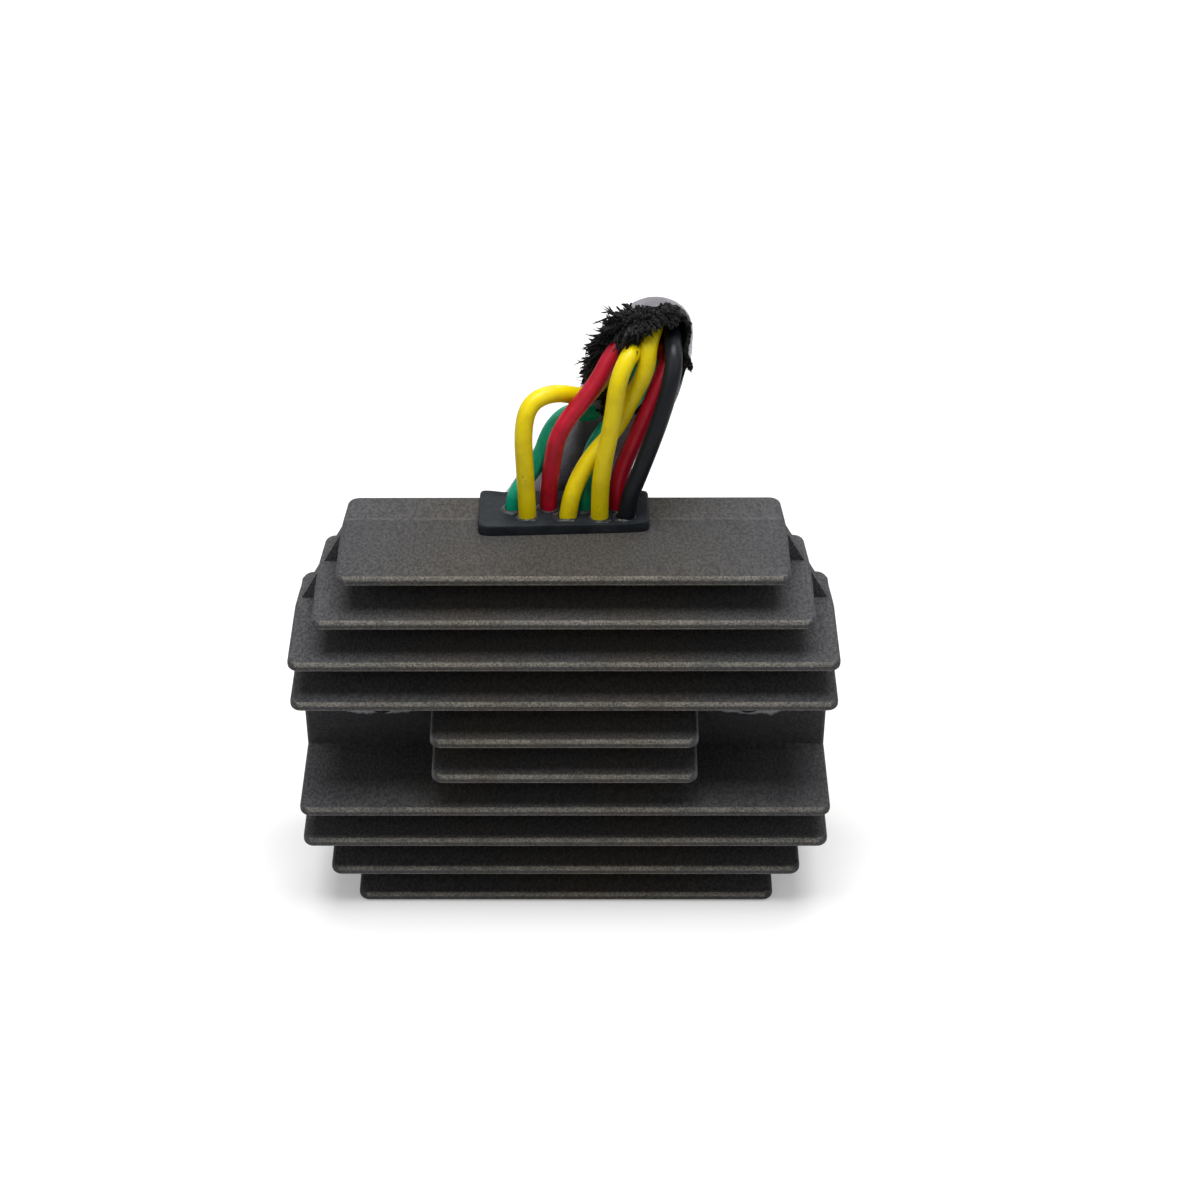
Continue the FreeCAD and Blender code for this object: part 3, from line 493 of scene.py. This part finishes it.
def lane_points(angle):
    """The sleeve's own corners moved sideways to a lead's lane, kept the same distance from every run."""
    corners = np.array(SLEEVE_ROUTE, float)
    runs = np.diff(corners, axis=0)
    lengths = np.linalg.norm(runs, axis=1)
    runs /= lengths[:, None]
    side = np.array((1.0, 0.0, 0.0))
    radians = math.radians(angle or 0.0)
    reach = 0.0 if angle is None else LANE_RING
    moved, offsets = [], []
    for before, after in zip(runs, runs[1:]):
        offset = reach * (side * math.sin(radians) + np.cross(before, side) * math.cos(radians))
        offsets.append(offset)
        axis = np.cross(before, after)
        axis /= np.linalg.norm(axis)
        inner_before, inner_after = np.cross(axis, before), np.cross(axis, after)
        share = offset.dot(inner_before)
        moved.append(axis * offset.dot(axis)
                     + share * (inner_before + inner_after) / (1.0 + inner_before.dot(inner_after)))
        turn = Matrix.Rotation(math.acos(before.dot(after)), 3, Vector(axis))
        side = np.array(turn @ Vector(side))
    last = reach * (side * math.sin(radians) + np.cross(runs[-1], side) * math.cos(radians))
    return corners[1:-1] + np.array(moved), offsets, corners[-1] + last, runs, lengths


def lead_points(angle, entry, before, after, slot, free):
    """A lead's control points from its terminal to its connector slot."""
    lane, offsets, leaving, runs, lengths = lane_points(angle)
    number = 0 if entry == "hood" else 1
    reach = BEND_SHARE * min(lengths[number], lengths[number + 1])
    begin = np.array(SLEEVE_ROUTE[number + 1]) - runs[number] * reach + offsets[number]
    if entry == "below":
        hood = BEND_SHARE * min(lengths[0], lengths[1])
        before += lengths[1] - reach - hood
    meeting = begin - runs[number] * before
    depth, height = slot
    tail = [leaving + runs[-1] * after, (CONNECTOR_START - CONNECTOR_STRAIGHT, depth, height),
            (SLOT_START, depth, height)]
    return in_place(np.vstack([free, [meeting], lane[number:], tail]))


for name, (colour, angle, entry, before, after, slot, length, free) in LEADS.items():
    points = lead_points(angle, entry, before, after, slot, free)
    curve = nurbs(f"{name}_insulation", points, LEAD_STEPS)
    curve.bevel_depth = LEAD_ACROSS / 2 * MM
    curve.bevel_resolution = 5
    curve.use_fill_caps = True
    curve.materials.append(FINISHES[f"insulation_{colour}"])
    lead = bpy.data.objects.new(f"{name}_insulation", curve)
    bpy.context.scene.collection.objects.link(lead)
    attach(lead, "root")
    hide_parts(name)


def sleeve_line():
    """The sleeve's centreline, ending short of its last corner as the model's does."""
    points = np.array(SLEEVE_ROUTE, float)
    last = points[-1] - points[-2]
    points[-1] -= last / np.linalg.norm(last) * SLEEVE_SHORT
    return smooth_line(in_place(points), SLEEVE_STEPS)


def eased(share):
    """A share cut to 0..1 and eased at both ends: 3 s^2 - 2 s^3."""
    share = np.clip(share, 0.0, 1.0)
    return share ** 2 * (3.0 - 2.0 * share)


def torn_edge(angle, right, top):
    """How far along the sleeve its torn edge lies at each place round it, and how ragged it is there.

    It is the hood's lip, plus 22 mm of tear that opens towards the throat in front, plus 5 mm at the upper
    right, plus 6.5 mm at the left of the throat, plus a sum of four sines."""
    ragged = (0.35 * np.sin(angle * 9 + 1.0) + 0.28 * np.sin(angle * 17 + 2.2)
              + 0.2 * np.sin(angle * 31 + 0.6) + 0.14 * np.sin(angle * 47)) * MM
    throat = np.where(angle < math.pi, eased((1.22 - angle) / 0.45), (0.5 + 0.5 * np.cos(angle)) ** 1.2)
    deepest = 6.5 * np.clip(np.sin(-2.0 * angle), 0.0, 1.0) * (np.cos(angle) > 0.0)
    begin = (HOOD_LIP + 22.0 * throat + 5.0 * right * top + deepest) * MM
    return begin + ragged * (0.6 + throat * (1.0 - 0.5 * right)), ragged


def sleeve_radius(angle, way, past_edge, right, left, top):
    """The sleeve's radius in mm: half its width, a flare at the torn edge that is tucked in at the right,
    bulges that fall off as exp(-d^2 / 2) along the way, and shallow folds, which are sines."""
    def bulge(high, side, middle, spread):
        return high * side * np.exp(-0.5 * ((way - middle) / spread) ** 2)

    facing_back = -np.cos(angle)
    tuck = (right * np.clip((0.3 + facing_back) / 0.4, 0.0, 1.0)
            * np.clip((0.75 - facing_back) / 0.5, 0.0, 1.0))
    flare = (0.9 - 0.5 * right - 1.4 * tuck) * np.exp(-past_edge / 6.0)
    bulges = (bulge(3.6, right ** 1.3, 25.0, 9.0) + bulge(3.2, right ** 1.3, 50.0, 8.0)
              + bulge(1.5, left ** 1.5, 27.0, 9.0) + bulge(2.0, top * (1.0 - 0.8 * left), 10.0, 7.0)
              + bulge(0.8, top, 20.0, 5.0))
    folds = (0.17 * np.sin(way / 2.3 + 2.0 * np.sin(angle) + 1.1 * np.sin(way / 7.0))
             + 0.14 * np.sin(3.0 * angle + way / 5.5))
    return SLEEVE_ACROSS / 2 + flare + bulges + folds


def sides_of(angle):
    """How much each place round the sleeve faces right, left and up over the hood, from 0 to 1."""
    return (np.clip(np.sin(angle), 0.0, 1.0), np.clip(-np.sin(angle), 0.0, 1.0),
            np.clip(-np.cos(angle), 0.0, 1.0))


def make_sleeve():
    """A torn woven tube. Its torn edge is a function of the way round, its radius of the way round and along.

    The way round starts at the front of the throat, which is the inside of the top bend, and goes to the
    right. Next to the torn edge, and down the whole torn left side, the black lining is turned outwards."""
    line = sleeve_line()
    sides, fronts, _ = rails(line, (1.0, 0.0, 0.0))
    steps = np.linalg.norm(np.diff(line, axis=0), axis=1)
    travelled = np.concatenate([[0.0], np.cumsum(steps)])
    rows, columns = 230, 144
    round_share = np.linspace(0.0, 1.0, columns, endpoint=False)
    angle = round_share * math.tau
    right, left, top = sides_of(angle)
    begin, ragged = torn_edge(angle, right, top)
    end = travelled[-1] + 0.4 * ragged
    share = np.linspace(0.0, 1.0, rows)[:, None] ** 1.15
    place = begin[None, :] + share * (end - begin)[None, :]
    way, past_edge = place / MM, (place - begin) / MM

    def at(values):
        return np.stack([np.interp(place, travelled, values[:, n]) for n in range(3)], axis=-1)

    radius = sleeve_radius(angle, way, past_edge, right, left, top) * MM
    centre, side, front = at(line), at(sides), at(fronts)
    outward = side * np.sin(angle)[None, :, None] + front * np.cos(angle)[None, :, None]
    outside = centre + outward * radius[..., None]
    inside = (centre + outward * (radius - SLEEVE_WALL * MM)[..., None])[::-1]
    maps = np.stack([np.broadcast_to(round_share, place.shape), place / 0.11], axis=-1)
    maps = np.concatenate([maps, maps[::-1]])
    last = (2 * rows - 1) * columns
    ring = np.arange(columns)
    after = (ring + 1) % columns
    closing = np.stack([last + ring, last + after, after, ring], axis=-1)
    faces = np.concatenate([grid_faces(2 * rows, columns, True), closing])
    piece = new_piece("sleeve_torn_tube", np.concatenate([outside, inside]), faces,
                      FINISHES["loom_fabric"], maps)
    turned_out = np.clip(0.6 + 1.8 * top + 1.6 * right * top + 17.0 * left ** 2,
                         0.0, np.maximum(26.5 - begin / MM, 0.6))
    black = np.zeros((2 * rows, columns), np.int32)
    black[:rows] = past_edge < turned_out + 900.0 * ragged * np.cos(way * 2.1)
    black[rows - 1:] = 1
    piece.data.materials.append(YARN)
    piece.data.polygons.foreach_set("material_index", black.ravel())
    return piece, line, outside, outward, angle, travelled, past_edge, turned_out


YARN = frayed_yarn("frayed_yarn", ink(8, 9, 9), ink(40, 41, 39))
(sleeve, sleeve_path, sleeve_skin, sleeve_outward, sleeve_angle, sleeve_travelled,
 sleeve_depth, lining_depth) = make_sleeve()
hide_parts("harness_sleeve")


def make_yarns(name, roots, headings, lengths, thick, curl, seed):
    """Torn strands: each is a thin tapering, lumpy tube along a line that curls away from its root.

    A point at share s is root + heading * length * s + drift * curl * length * s^1.6 + a small wave, and
    curl is one number or one for each strand."""
    rng = np.random.default_rng(seed)
    count = len(roots)
    rows, columns = 7, 6
    s = np.linspace(0.0, 1.0, rows)[None, :, None]
    drift = rng.normal(size=(count, 1, 3))
    wave = rng.normal(size=(count, 1, 3))
    phase = rng.uniform(0, math.tau, size=(count, 1, 1))
    length = lengths[:, None, None]
    curl = np.broadcast_to(curl, count)[:, None, None]
    line = (roots[:, None, :] + headings[:, None, :] * length * s + drift * curl * length * s ** 1.6
            + wave * 0.10 * length * np.sin(s * 7.0 + phase) * s)
    along = np.gradient(line, axis=1)
    along /= np.linalg.norm(along, axis=2, keepdims=True) + 1e-12
    side = np.cross(along, np.array((0.31, 0.52, 0.79)))
    side /= np.linalg.norm(side, axis=2, keepdims=True) + 1e-12
    other = np.cross(along, side)
    around = np.linspace(0.0, math.tau, columns, endpoint=False)
    flat = rng.uniform(0.45, 1.0, size=(count, 1, 1, 1))
    lumps = 1.0 + 0.22 * np.sin(s * 11.0 + phase * 3.0)
    blunt = np.sqrt(1.0 - 0.9 * np.clip((s - 0.8) / 0.2, 0.0, 1.0) ** 2)
    radius = (thick[:, None, None] * (1.0 - 0.35 * s ** 2) * blunt * lumps)[:, :, :, None]
    tube = (line[:, :, None, :]
            + (side[:, :, None, :] * np.cos(around)[None, None, :, None]
               + other[:, :, None, :] * np.sin(around)[None, None, :, None] * flat) * radius)
    one = grid_faces(rows, columns, True)
    starts = np.arange(count) * rows * columns
    faces = (one[None] + starts[:, None, None]).reshape(-1, 4).tolist()
    ends = starts + (rows - 1) * columns
    faces += [[int(b) + n for n in reversed(range(columns))] for b in starts]
    faces += [[int(b) + n for n in range(columns)] for b in ends]
    return new_piece(name, tube, faces, YARN)


# Locks of torn yarn on the left: where each leaves the cloth and where it ends (x, depth, height).
LOCKS = [
    ((10.8, -4.0, 122.2), (7.2, -4.4, 123.2)), ((10.4, -3.5, 120.8), (8.0, -4.2, 121.4)),
    ((9.1, -2.0, 118.6), (6.4, -3.0, 118.8)), ((8.6, -1.6, 117.2), (5.6, -2.4, 117.0)),
    ((7.4, 0.0, 115.4), (4.2, -0.6, 114.2)), ((7.4, 0.0, 114.2), (4.6, -0.4, 113.0)),
    ((7.2, 1.0, 111.9), (3.9, 0.4, 110.8)), ((7.0, 1.5, 110.0), (4.2, 1.2, 108.9)),
    ((6.8, 2.0, 108.4), (4.3, 1.6, 107.2)), ((6.9, 2.0, 107.1), (5.0, 1.6, 105.4)),
]
EDGE_TUFTS, LINING_YARNS, LOCK_YARNS, FRINGE_AND_SHADE_YARNS, FINE_HAIRS = 1000, 4600, 16, 620, 200


def make_fray():
    """The torn cloth: tufts on the whole edge, matted lining turned out over the hood and down its left
    side, locks of yarn that stick out to the left past the leads, and a fringe that hangs into the mouth. The
    fringe is torn cloth and also painted shade, a dark mass over the leads' tops in the shaded mouth."""
    rng = np.random.default_rng(7)
    rows, columns = sleeve_skin.shape[:2]
    right, left, top = sides_of(sleeve_angle)
    edge, just_inside = sleeve_skin[0], sleeve_skin[2]
    off_edge = np.cross(np.roll(edge, 1, axis=0) - np.roll(edge, -1, axis=0), sleeve_outward[0])
    off_edge /= np.linalg.norm(off_edge, axis=1, keepdims=True)
    off_edge *= np.sign((off_edge * (edge - just_inside)).sum(axis=1))[:, None]
    groups = []

    def add(roots, heading, length, thick, curl):
        heading = heading / np.linalg.norm(heading, axis=1, keepdims=True)
        groups.append((roots, heading, length, thick, np.full(len(roots), curl)))

    # Short tufts on the whole torn edge, few of them in the throat.
    count = EDGE_TUFTS
    column = rng.integers(0, columns, count)
    column = column[(np.cos(sleeve_angle[column]) < 0.4) | (rng.uniform(size=count) < 0.12)]
    count = len(column)
    heading = (off_edge[column] * 0.8 + sleeve_outward[0, column] * (0.15 - 0.9 * right[column])[:, None]
               + rng.normal(size=(count, 3)) * 0.35)
    add(sleeve_skin[0, column], heading, rng.uniform(0.4, 1.3, count) * (1.0 - 0.5 * right[column]),
        rng.uniform(0.18, 0.36, count) * (1.0 - 0.35 * right[column]), 0.3)

    # Matted yarns on the lining that is turned out.
    count = LINING_YARNS
    column = rng.integers(0, columns, count)
    row = (rng.uniform(0.0, 1.0, count) * rows * 0.32).astype(int)
    keep = (sleeve_depth[row, column] < lining_depth[column]) & (right[column] < 0.5)
    row, column = row[keep], column[keep]
    count = len(row)
    heading = (sleeve_outward[row, column] * 0.1 + np.array((-0.7, -0.2, -0.1)) * left[column][:, None]
               + off_edge[column] * 0.35 + rng.normal(size=(count, 3)) * 0.5)
    add(sleeve_skin[row, column], heading, rng.uniform(0.5, 1.2, count) + 0.5 * left[column],
        rng.uniform(0.26, 0.55, count), 0.35)

    # Locks that stick out to the left.
    for root, tip in LOCKS:
        root, tip = in_place(root), in_place(tip)
        count = LOCK_YARNS
        roots = root + rng.normal(size=(count, 3)) * 0.42 * MM
        heading = tip + rng.normal(size=(count, 3)) * 0.32 * MM - roots
        reach = np.linalg.norm(heading, axis=1) / MM
        add(roots, heading, reach * rng.uniform(0.55, 1.1, count), rng.uniform(0.16, 0.34, count), 0.22)

    # The fringe that hangs over the mouth, longest at the upper left. It is torn cloth, and its dark mass is
    # also painted shade that hides the tops of the leads where the mouth lies in shade.
    spots = np.flatnonzero((top > 0.2) & (right < 0.45))
    count = FRINGE_AND_SHADE_YARNS
    column = rng.choice(spots, count)
    heading = off_edge[column] * 0.5 + np.array((0.08, -0.4, -0.75)) + rng.normal(size=(count, 3)) * 0.26
    add(sleeve_skin[rng.integers(0, 3, count), column] - sleeve_outward[0, column] * 0.6 * MM, heading,
        rng.uniform(1.0, 2.6, count) + 2.6 * (left * top * 2.0)[column] * rng.uniform(0.2, 1.0, count),
        rng.uniform(0.2, 0.4, count), 0.2)

    # Fine loose hairs on the left.
    count = FINE_HAIRS
    column = rng.choice(np.flatnonzero(left > 0.8), count)
    row = rng.integers(0, 40, count)
    keep = sleeve_depth[row, column] < lining_depth[column]
    row, column = row[keep], column[keep]
    count = len(row)
    heading = (sleeve_outward[row, column] * 0.2 + np.array((-0.8, -0.2, -0.1))
               + rng.normal(size=(count, 3)) * 0.5)
    add(sleeve_skin[row, column], heading, rng.uniform(0.6, 1.5, count), rng.uniform(0.08, 0.14, count), 0.9)

    roots, headings, lengths, thick, curl = (np.concatenate(parts) for parts in zip(*groups))
    return make_yarns("mouth_fray", roots, headings, lengths * MM, thick * MM, curl, 11)


fray = make_fray()


# Grommet.

PAD_HALF, PAD_DEEP, PAD_LOW, PAD_TOP = mm(16.4, 12.9, 80.8, 83.3)
PLUG_HALF, PLUG_DEEP, PLUG_LOW = mm(14.57, 12.18, 75.3)


def rounded_outline(half_x, half_y, corner, count):
    """A superellipse, as x and y arrays: the larger its corner power, the squarer it is."""
    angle = np.linspace(0.0, math.tau, count, endpoint=False)
    power = 2.0 / corner
    cosine, sine = np.cos(angle), np.sin(angle)
    x = half_x * np.sign(cosine) * np.abs(cosine) ** power
    y = half_y * np.sign(sine) * np.abs(sine) ** power
    return x, y


def pad_lift(across, deep):
    """How far the pad's top lies above its middle height: it sags at the back and is dished inside."""
    back = np.clip(deep, 0.0, 1.0)
    sag = -1.05 * back + 0.75 * back * np.clip(-across - 0.72, 0.0, 1.0) / 0.28
    sag = sag + 0.45 * back * np.clip(across - 0.6, 0.0, 1.0) / 0.4
    sag = sag + 0.16 * np.sin(across * 4.2 + 2.0) - 0.12 * np.clip(-deep, 0.0, 1.0) * np.cos(across * 3.0)
    dish = 0.8 * np.clip(1 - np.abs(across) ** 6, 0, 1) * np.clip(1 - np.abs(deep) ** 5, 0, 1)
    return (sag - dish) * MM


def pad_front(across, deep):
    """How far the pad's front edge lies forward of a true rectangle: it was laid on slightly askew."""
    return -(0.85 - 0.7 * across) * np.clip(-deep, 0.0, 1.0) ** 2 * MM


def make_pad():
    """The moulded pad: stacked outlines that climb its sides, turn over a tight rim and dish inside it."""
    count = 320
    middle_y = REAR - PAD_DEEP / 2
    rings = []
    side = [(0.99, -0.02), (1.0, 0.05), (1.0, 0.3), (0.999, 0.6), (0.996, 0.84), (0.99, 0.95), (0.98, 1.0)]
    inner = [(s, 1.0) for s in np.concatenate([[0.965, 0.95, 0.935], np.linspace(0.91, 0.0, 30)])]
    for scale, share in side + inner:
        corner = 14.0 - 9.0 * min(1.0, 1.6 * (1.0 - scale))
        x, y = rounded_outline(PAD_HALF * scale, PAD_DEEP / 2 * scale, max(corner, 3.0), count)
        across, deep = x / PAD_HALF, y / (PAD_DEEP / 2)
        z = PAD_LOW + (PAD_TOP - PAD_LOW + pad_lift(across, deep)) * share
        rings.append(np.stack([x, middle_y + y + pad_front(across, deep), z], axis=-1))
    faces = grid_faces(len(rings), count, True).tolist()
    faces.append([n for n in reversed(range(count))])
    return new_piece("grommet_pad", np.array(rings), faces, FINISHES["grommet_rubber"])


def make_plug():
    """The rubber below the pad that fills the casting's notch, flush with the mounting face."""
    count = 200
    rings = []
    profile = [(0.0, 0.0), (0.5, 0.0), (0.95, 0.0), (0.985, 0.1), (1.0, 0.5), (1.0, 3.0), (1.0, 5.55)]
    for scale, height in profile:
        x, y = rounded_outline(PLUG_HALF * scale, PLUG_DEEP / 2 * scale, 16.0, count)
        rings.append(np.stack([x, REAR - PLUG_DEEP / 2 + y, np.full(count, PLUG_LOW + height * MM)], axis=-1))
    faces = grid_faces(len(rings), count, True).tolist()
    faces.append([(len(rings) - 1) * count + n for n in range(count)])
    return new_piece("grommet_plug", np.array(rings), faces, FINISHES["grommet_rubber"])


def make_sealant():
    """A low irregular collar of dried sealer round each lead where it leaves the pad."""
    rng = np.random.default_rng(3)
    columns = 72
    angle = np.linspace(0.0, math.tau, columns, endpoint=False)
    profile = [(0.0, 0.1), (0.0, 0.34), (0.12, 0.38), (0.35, 0.28), (0.65, 0.16), (1.0, 0.05), (1.08, -0.12)]
    points, faces = [], []
    for lead in LEADS.values():
        x, depth, _ = lead[-1][1]
        phase = rng.uniform(0, math.tau, 3)
        reach = 0.62 + 0.18 * np.sin(angle + phase[0]) + 0.13 * np.sin(2 * angle + phase[1])
        reach = reach + 0.08 * np.sin(5 * angle + phase[2])
        rings = []
        for share, height in profile:
            radius = LEAD_ACROSS / 2 - 0.15 + share * reach
            px, py = x + radius * np.cos(angle), depth + radius * np.sin(angle)
            lift = pad_lift(px * MM / PAD_HALF, (py * MM + PAD_DEEP / 2) / (PAD_DEEP / 2))
            rings.append(np.stack([px * MM, py * MM + REAR, PAD_TOP + lift + height * MM], axis=-1))
        faces.append(grid_faces(len(rings), columns, True) + len(points) * len(profile) * columns)
        points.append(rings)
    return new_piece("lead_sealant", np.array(points), np.concatenate(faces), sealant())


pad = make_pad()
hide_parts("grommet")
make_plug()
make_sealant()


# Camera, lamps and ground.

FRAME_PIXELS, FOCAL_PIXELS, SHIFT_PIXELS = 1200.0, 2284.0, 35.0
SENSOR_MM = 36.0


def make_camera():
    """The camera looks at a point in the mounting face's plane from 461 mm, 35 degrees above level and a
    touch to the right, and is rolled by half a degree."""
    target = Vector((0.0, REAR, 0.0562))
    distance = 0.461
    tilt, roll, swing = math.radians(35.0), math.radians(0.46), math.radians(0.7)
    level = Vector((math.cos(swing), math.sin(swing), 0.0))
    ahead = Vector((-math.sin(swing), math.cos(swing), 0.0))
    forward = ahead * math.cos(tilt) - Vector((0.0, 0.0, math.sin(tilt)))
    rise = level.cross(forward)
    right = level * math.cos(roll) - rise * math.sin(roll)
    up = level * math.sin(roll) + rise * math.cos(roll)
    data = bpy.data.cameras.new("camera")
    data.sensor_width = SENSOR_MM
    data.lens = FOCAL_PIXELS / FRAME_PIXELS * SENSOR_MM
    data.shift_x = SHIFT_PIXELS / FRAME_PIXELS
    data.clip_start, data.clip_end = 0.01, 20.0
    camera = bpy.data.objects.new("camera", data)
    turn = Matrix([list(row) for row in zip(right, up, -forward)]).to_4x4()
    camera.matrix_world = Matrix.Translation(target - forward * distance) @ turn
    bpy.context.scene.collection.objects.link(camera)
    bpy.context.scene.camera = camera


def make_lamp(name, place, aim, size, watts):
    """A white rectangular lamp that faces the point that it is aimed at."""
    data = bpy.data.lights.new(name, "AREA")
    data.shape, data.size, data.size_y = "RECTANGLE", size[0], size[1]
    data.energy = watts
    lamp = bpy.data.objects.new(name, data)
    lamp.location = place
    lamp.rotation_euler = (Vector(aim) - Vector(place)).to_track_quat("-Z", "Y").to_euler()
    bpy.context.scene.collection.objects.link(lamp)


def pale_ground():
    """Pale ground that keeps the object's shadow; to the camera it also glows, to plain white further off."""
    f = Finish("pale_ground")
    tree = f.tree
    rays = tree.nodes.new("ShaderNodeLightPath")
    glow = tree.nodes.new("ShaderNodeEmission")
    away = tree.nodes.new("ShaderNodeVectorMath")
    away.operation = "LENGTH"
    f.feed(away, 0, f.place)
    f.feed(glow, "Strength", f.rise(away.outputs["Value"], 0.12, 0.7, 0.3, 1.0))
    f.finish(Base_Color=(0.7, 0.7, 0.7, 1.0), Roughness=0.95, Specular_IOR_Level=0.0)
    add = tree.nodes.new("ShaderNodeAddShader")
    choose = tree.nodes.new("ShaderNodeMixShader")
    output = tree.nodes["Material Output"]
    tree.links.new(f.shader.outputs[0], add.inputs[0])
    tree.links.new(glow.outputs[0], add.inputs[1])
    tree.links.new(rays.outputs["Is Camera Ray"], choose.inputs[0])
    tree.links.new(f.shader.outputs[0], choose.inputs[1])
    tree.links.new(add.outputs[0], choose.inputs[2])
    tree.links.new(choose.outputs[0], output.inputs["Surface"])
    return f.material


def make_ground():
    """A large flat square just below the fin that the unit stands on."""
    half, height = 3.0, -0.2 * MM
    mesh = bpy.data.meshes.new("ground")
    corners = [(-half, -half, height), (half, -half, height), (half, half, height), (-half, half, height)]
    mesh.from_pydata(corners, [], [(0, 1, 2, 3)])
    mesh.materials.append(pale_ground())
    ground = bpy.data.objects.new("ground", mesh)
    bpy.context.scene.collection.objects.link(ground)


def make_world():
    """Plain white to the camera and in reflections, and a faint even light on everything."""
    world = bpy.data.worlds.new("studio")
    bpy.context.scene.world = world
    world.use_nodes = True
    tree = world.node_tree
    back = tree.nodes["Background"]
    back.inputs["Color"].default_value = (1.0, 1.0, 1.0, 1.0)
    rays = tree.nodes.new("ShaderNodeLightPath")
    seen = tree.nodes.new("ShaderNodeMath")
    seen.operation = "MAXIMUM"
    tree.links.new(rays.outputs["Is Camera Ray"], seen.inputs[0])
    tree.links.new(rays.outputs["Is Glossy Ray"], seen.inputs[1])
    level = tree.nodes.new("ShaderNodeMapRange")
    level.inputs["To Min"].default_value = 0.075
    level.inputs["To Max"].default_value = 1.0
    tree.links.new(seen.outputs[0], level.inputs["Value"])
    tree.links.new(level.outputs["Result"], back.inputs["Strength"])


make_camera()
make_ground()
make_world()
make_lamp("overhead", (0.0, -0.06, 0.8), aim=(0.0, 0.0, 0.05), size=(0.6, 0.45), watts=7.8)
make_lamp("front_left", (-0.55, -0.7, 0.6), aim=(0.0, 0.0, 0.05), size=(0.5, 0.5), watts=1.3)
make_lamp("front_right", (0.6, -0.65, 0.55), aim=(0.0, 0.0, 0.05), size=(0.5, 0.5), watts=0.9)
make_lamp("behind", (0.1, 0.8, 0.6), aim=(0.0, 0.0, 0.06), size=(0.6, 0.4), watts=2.2)

bpy.context.scene.view_settings.view_transform = "Standard"
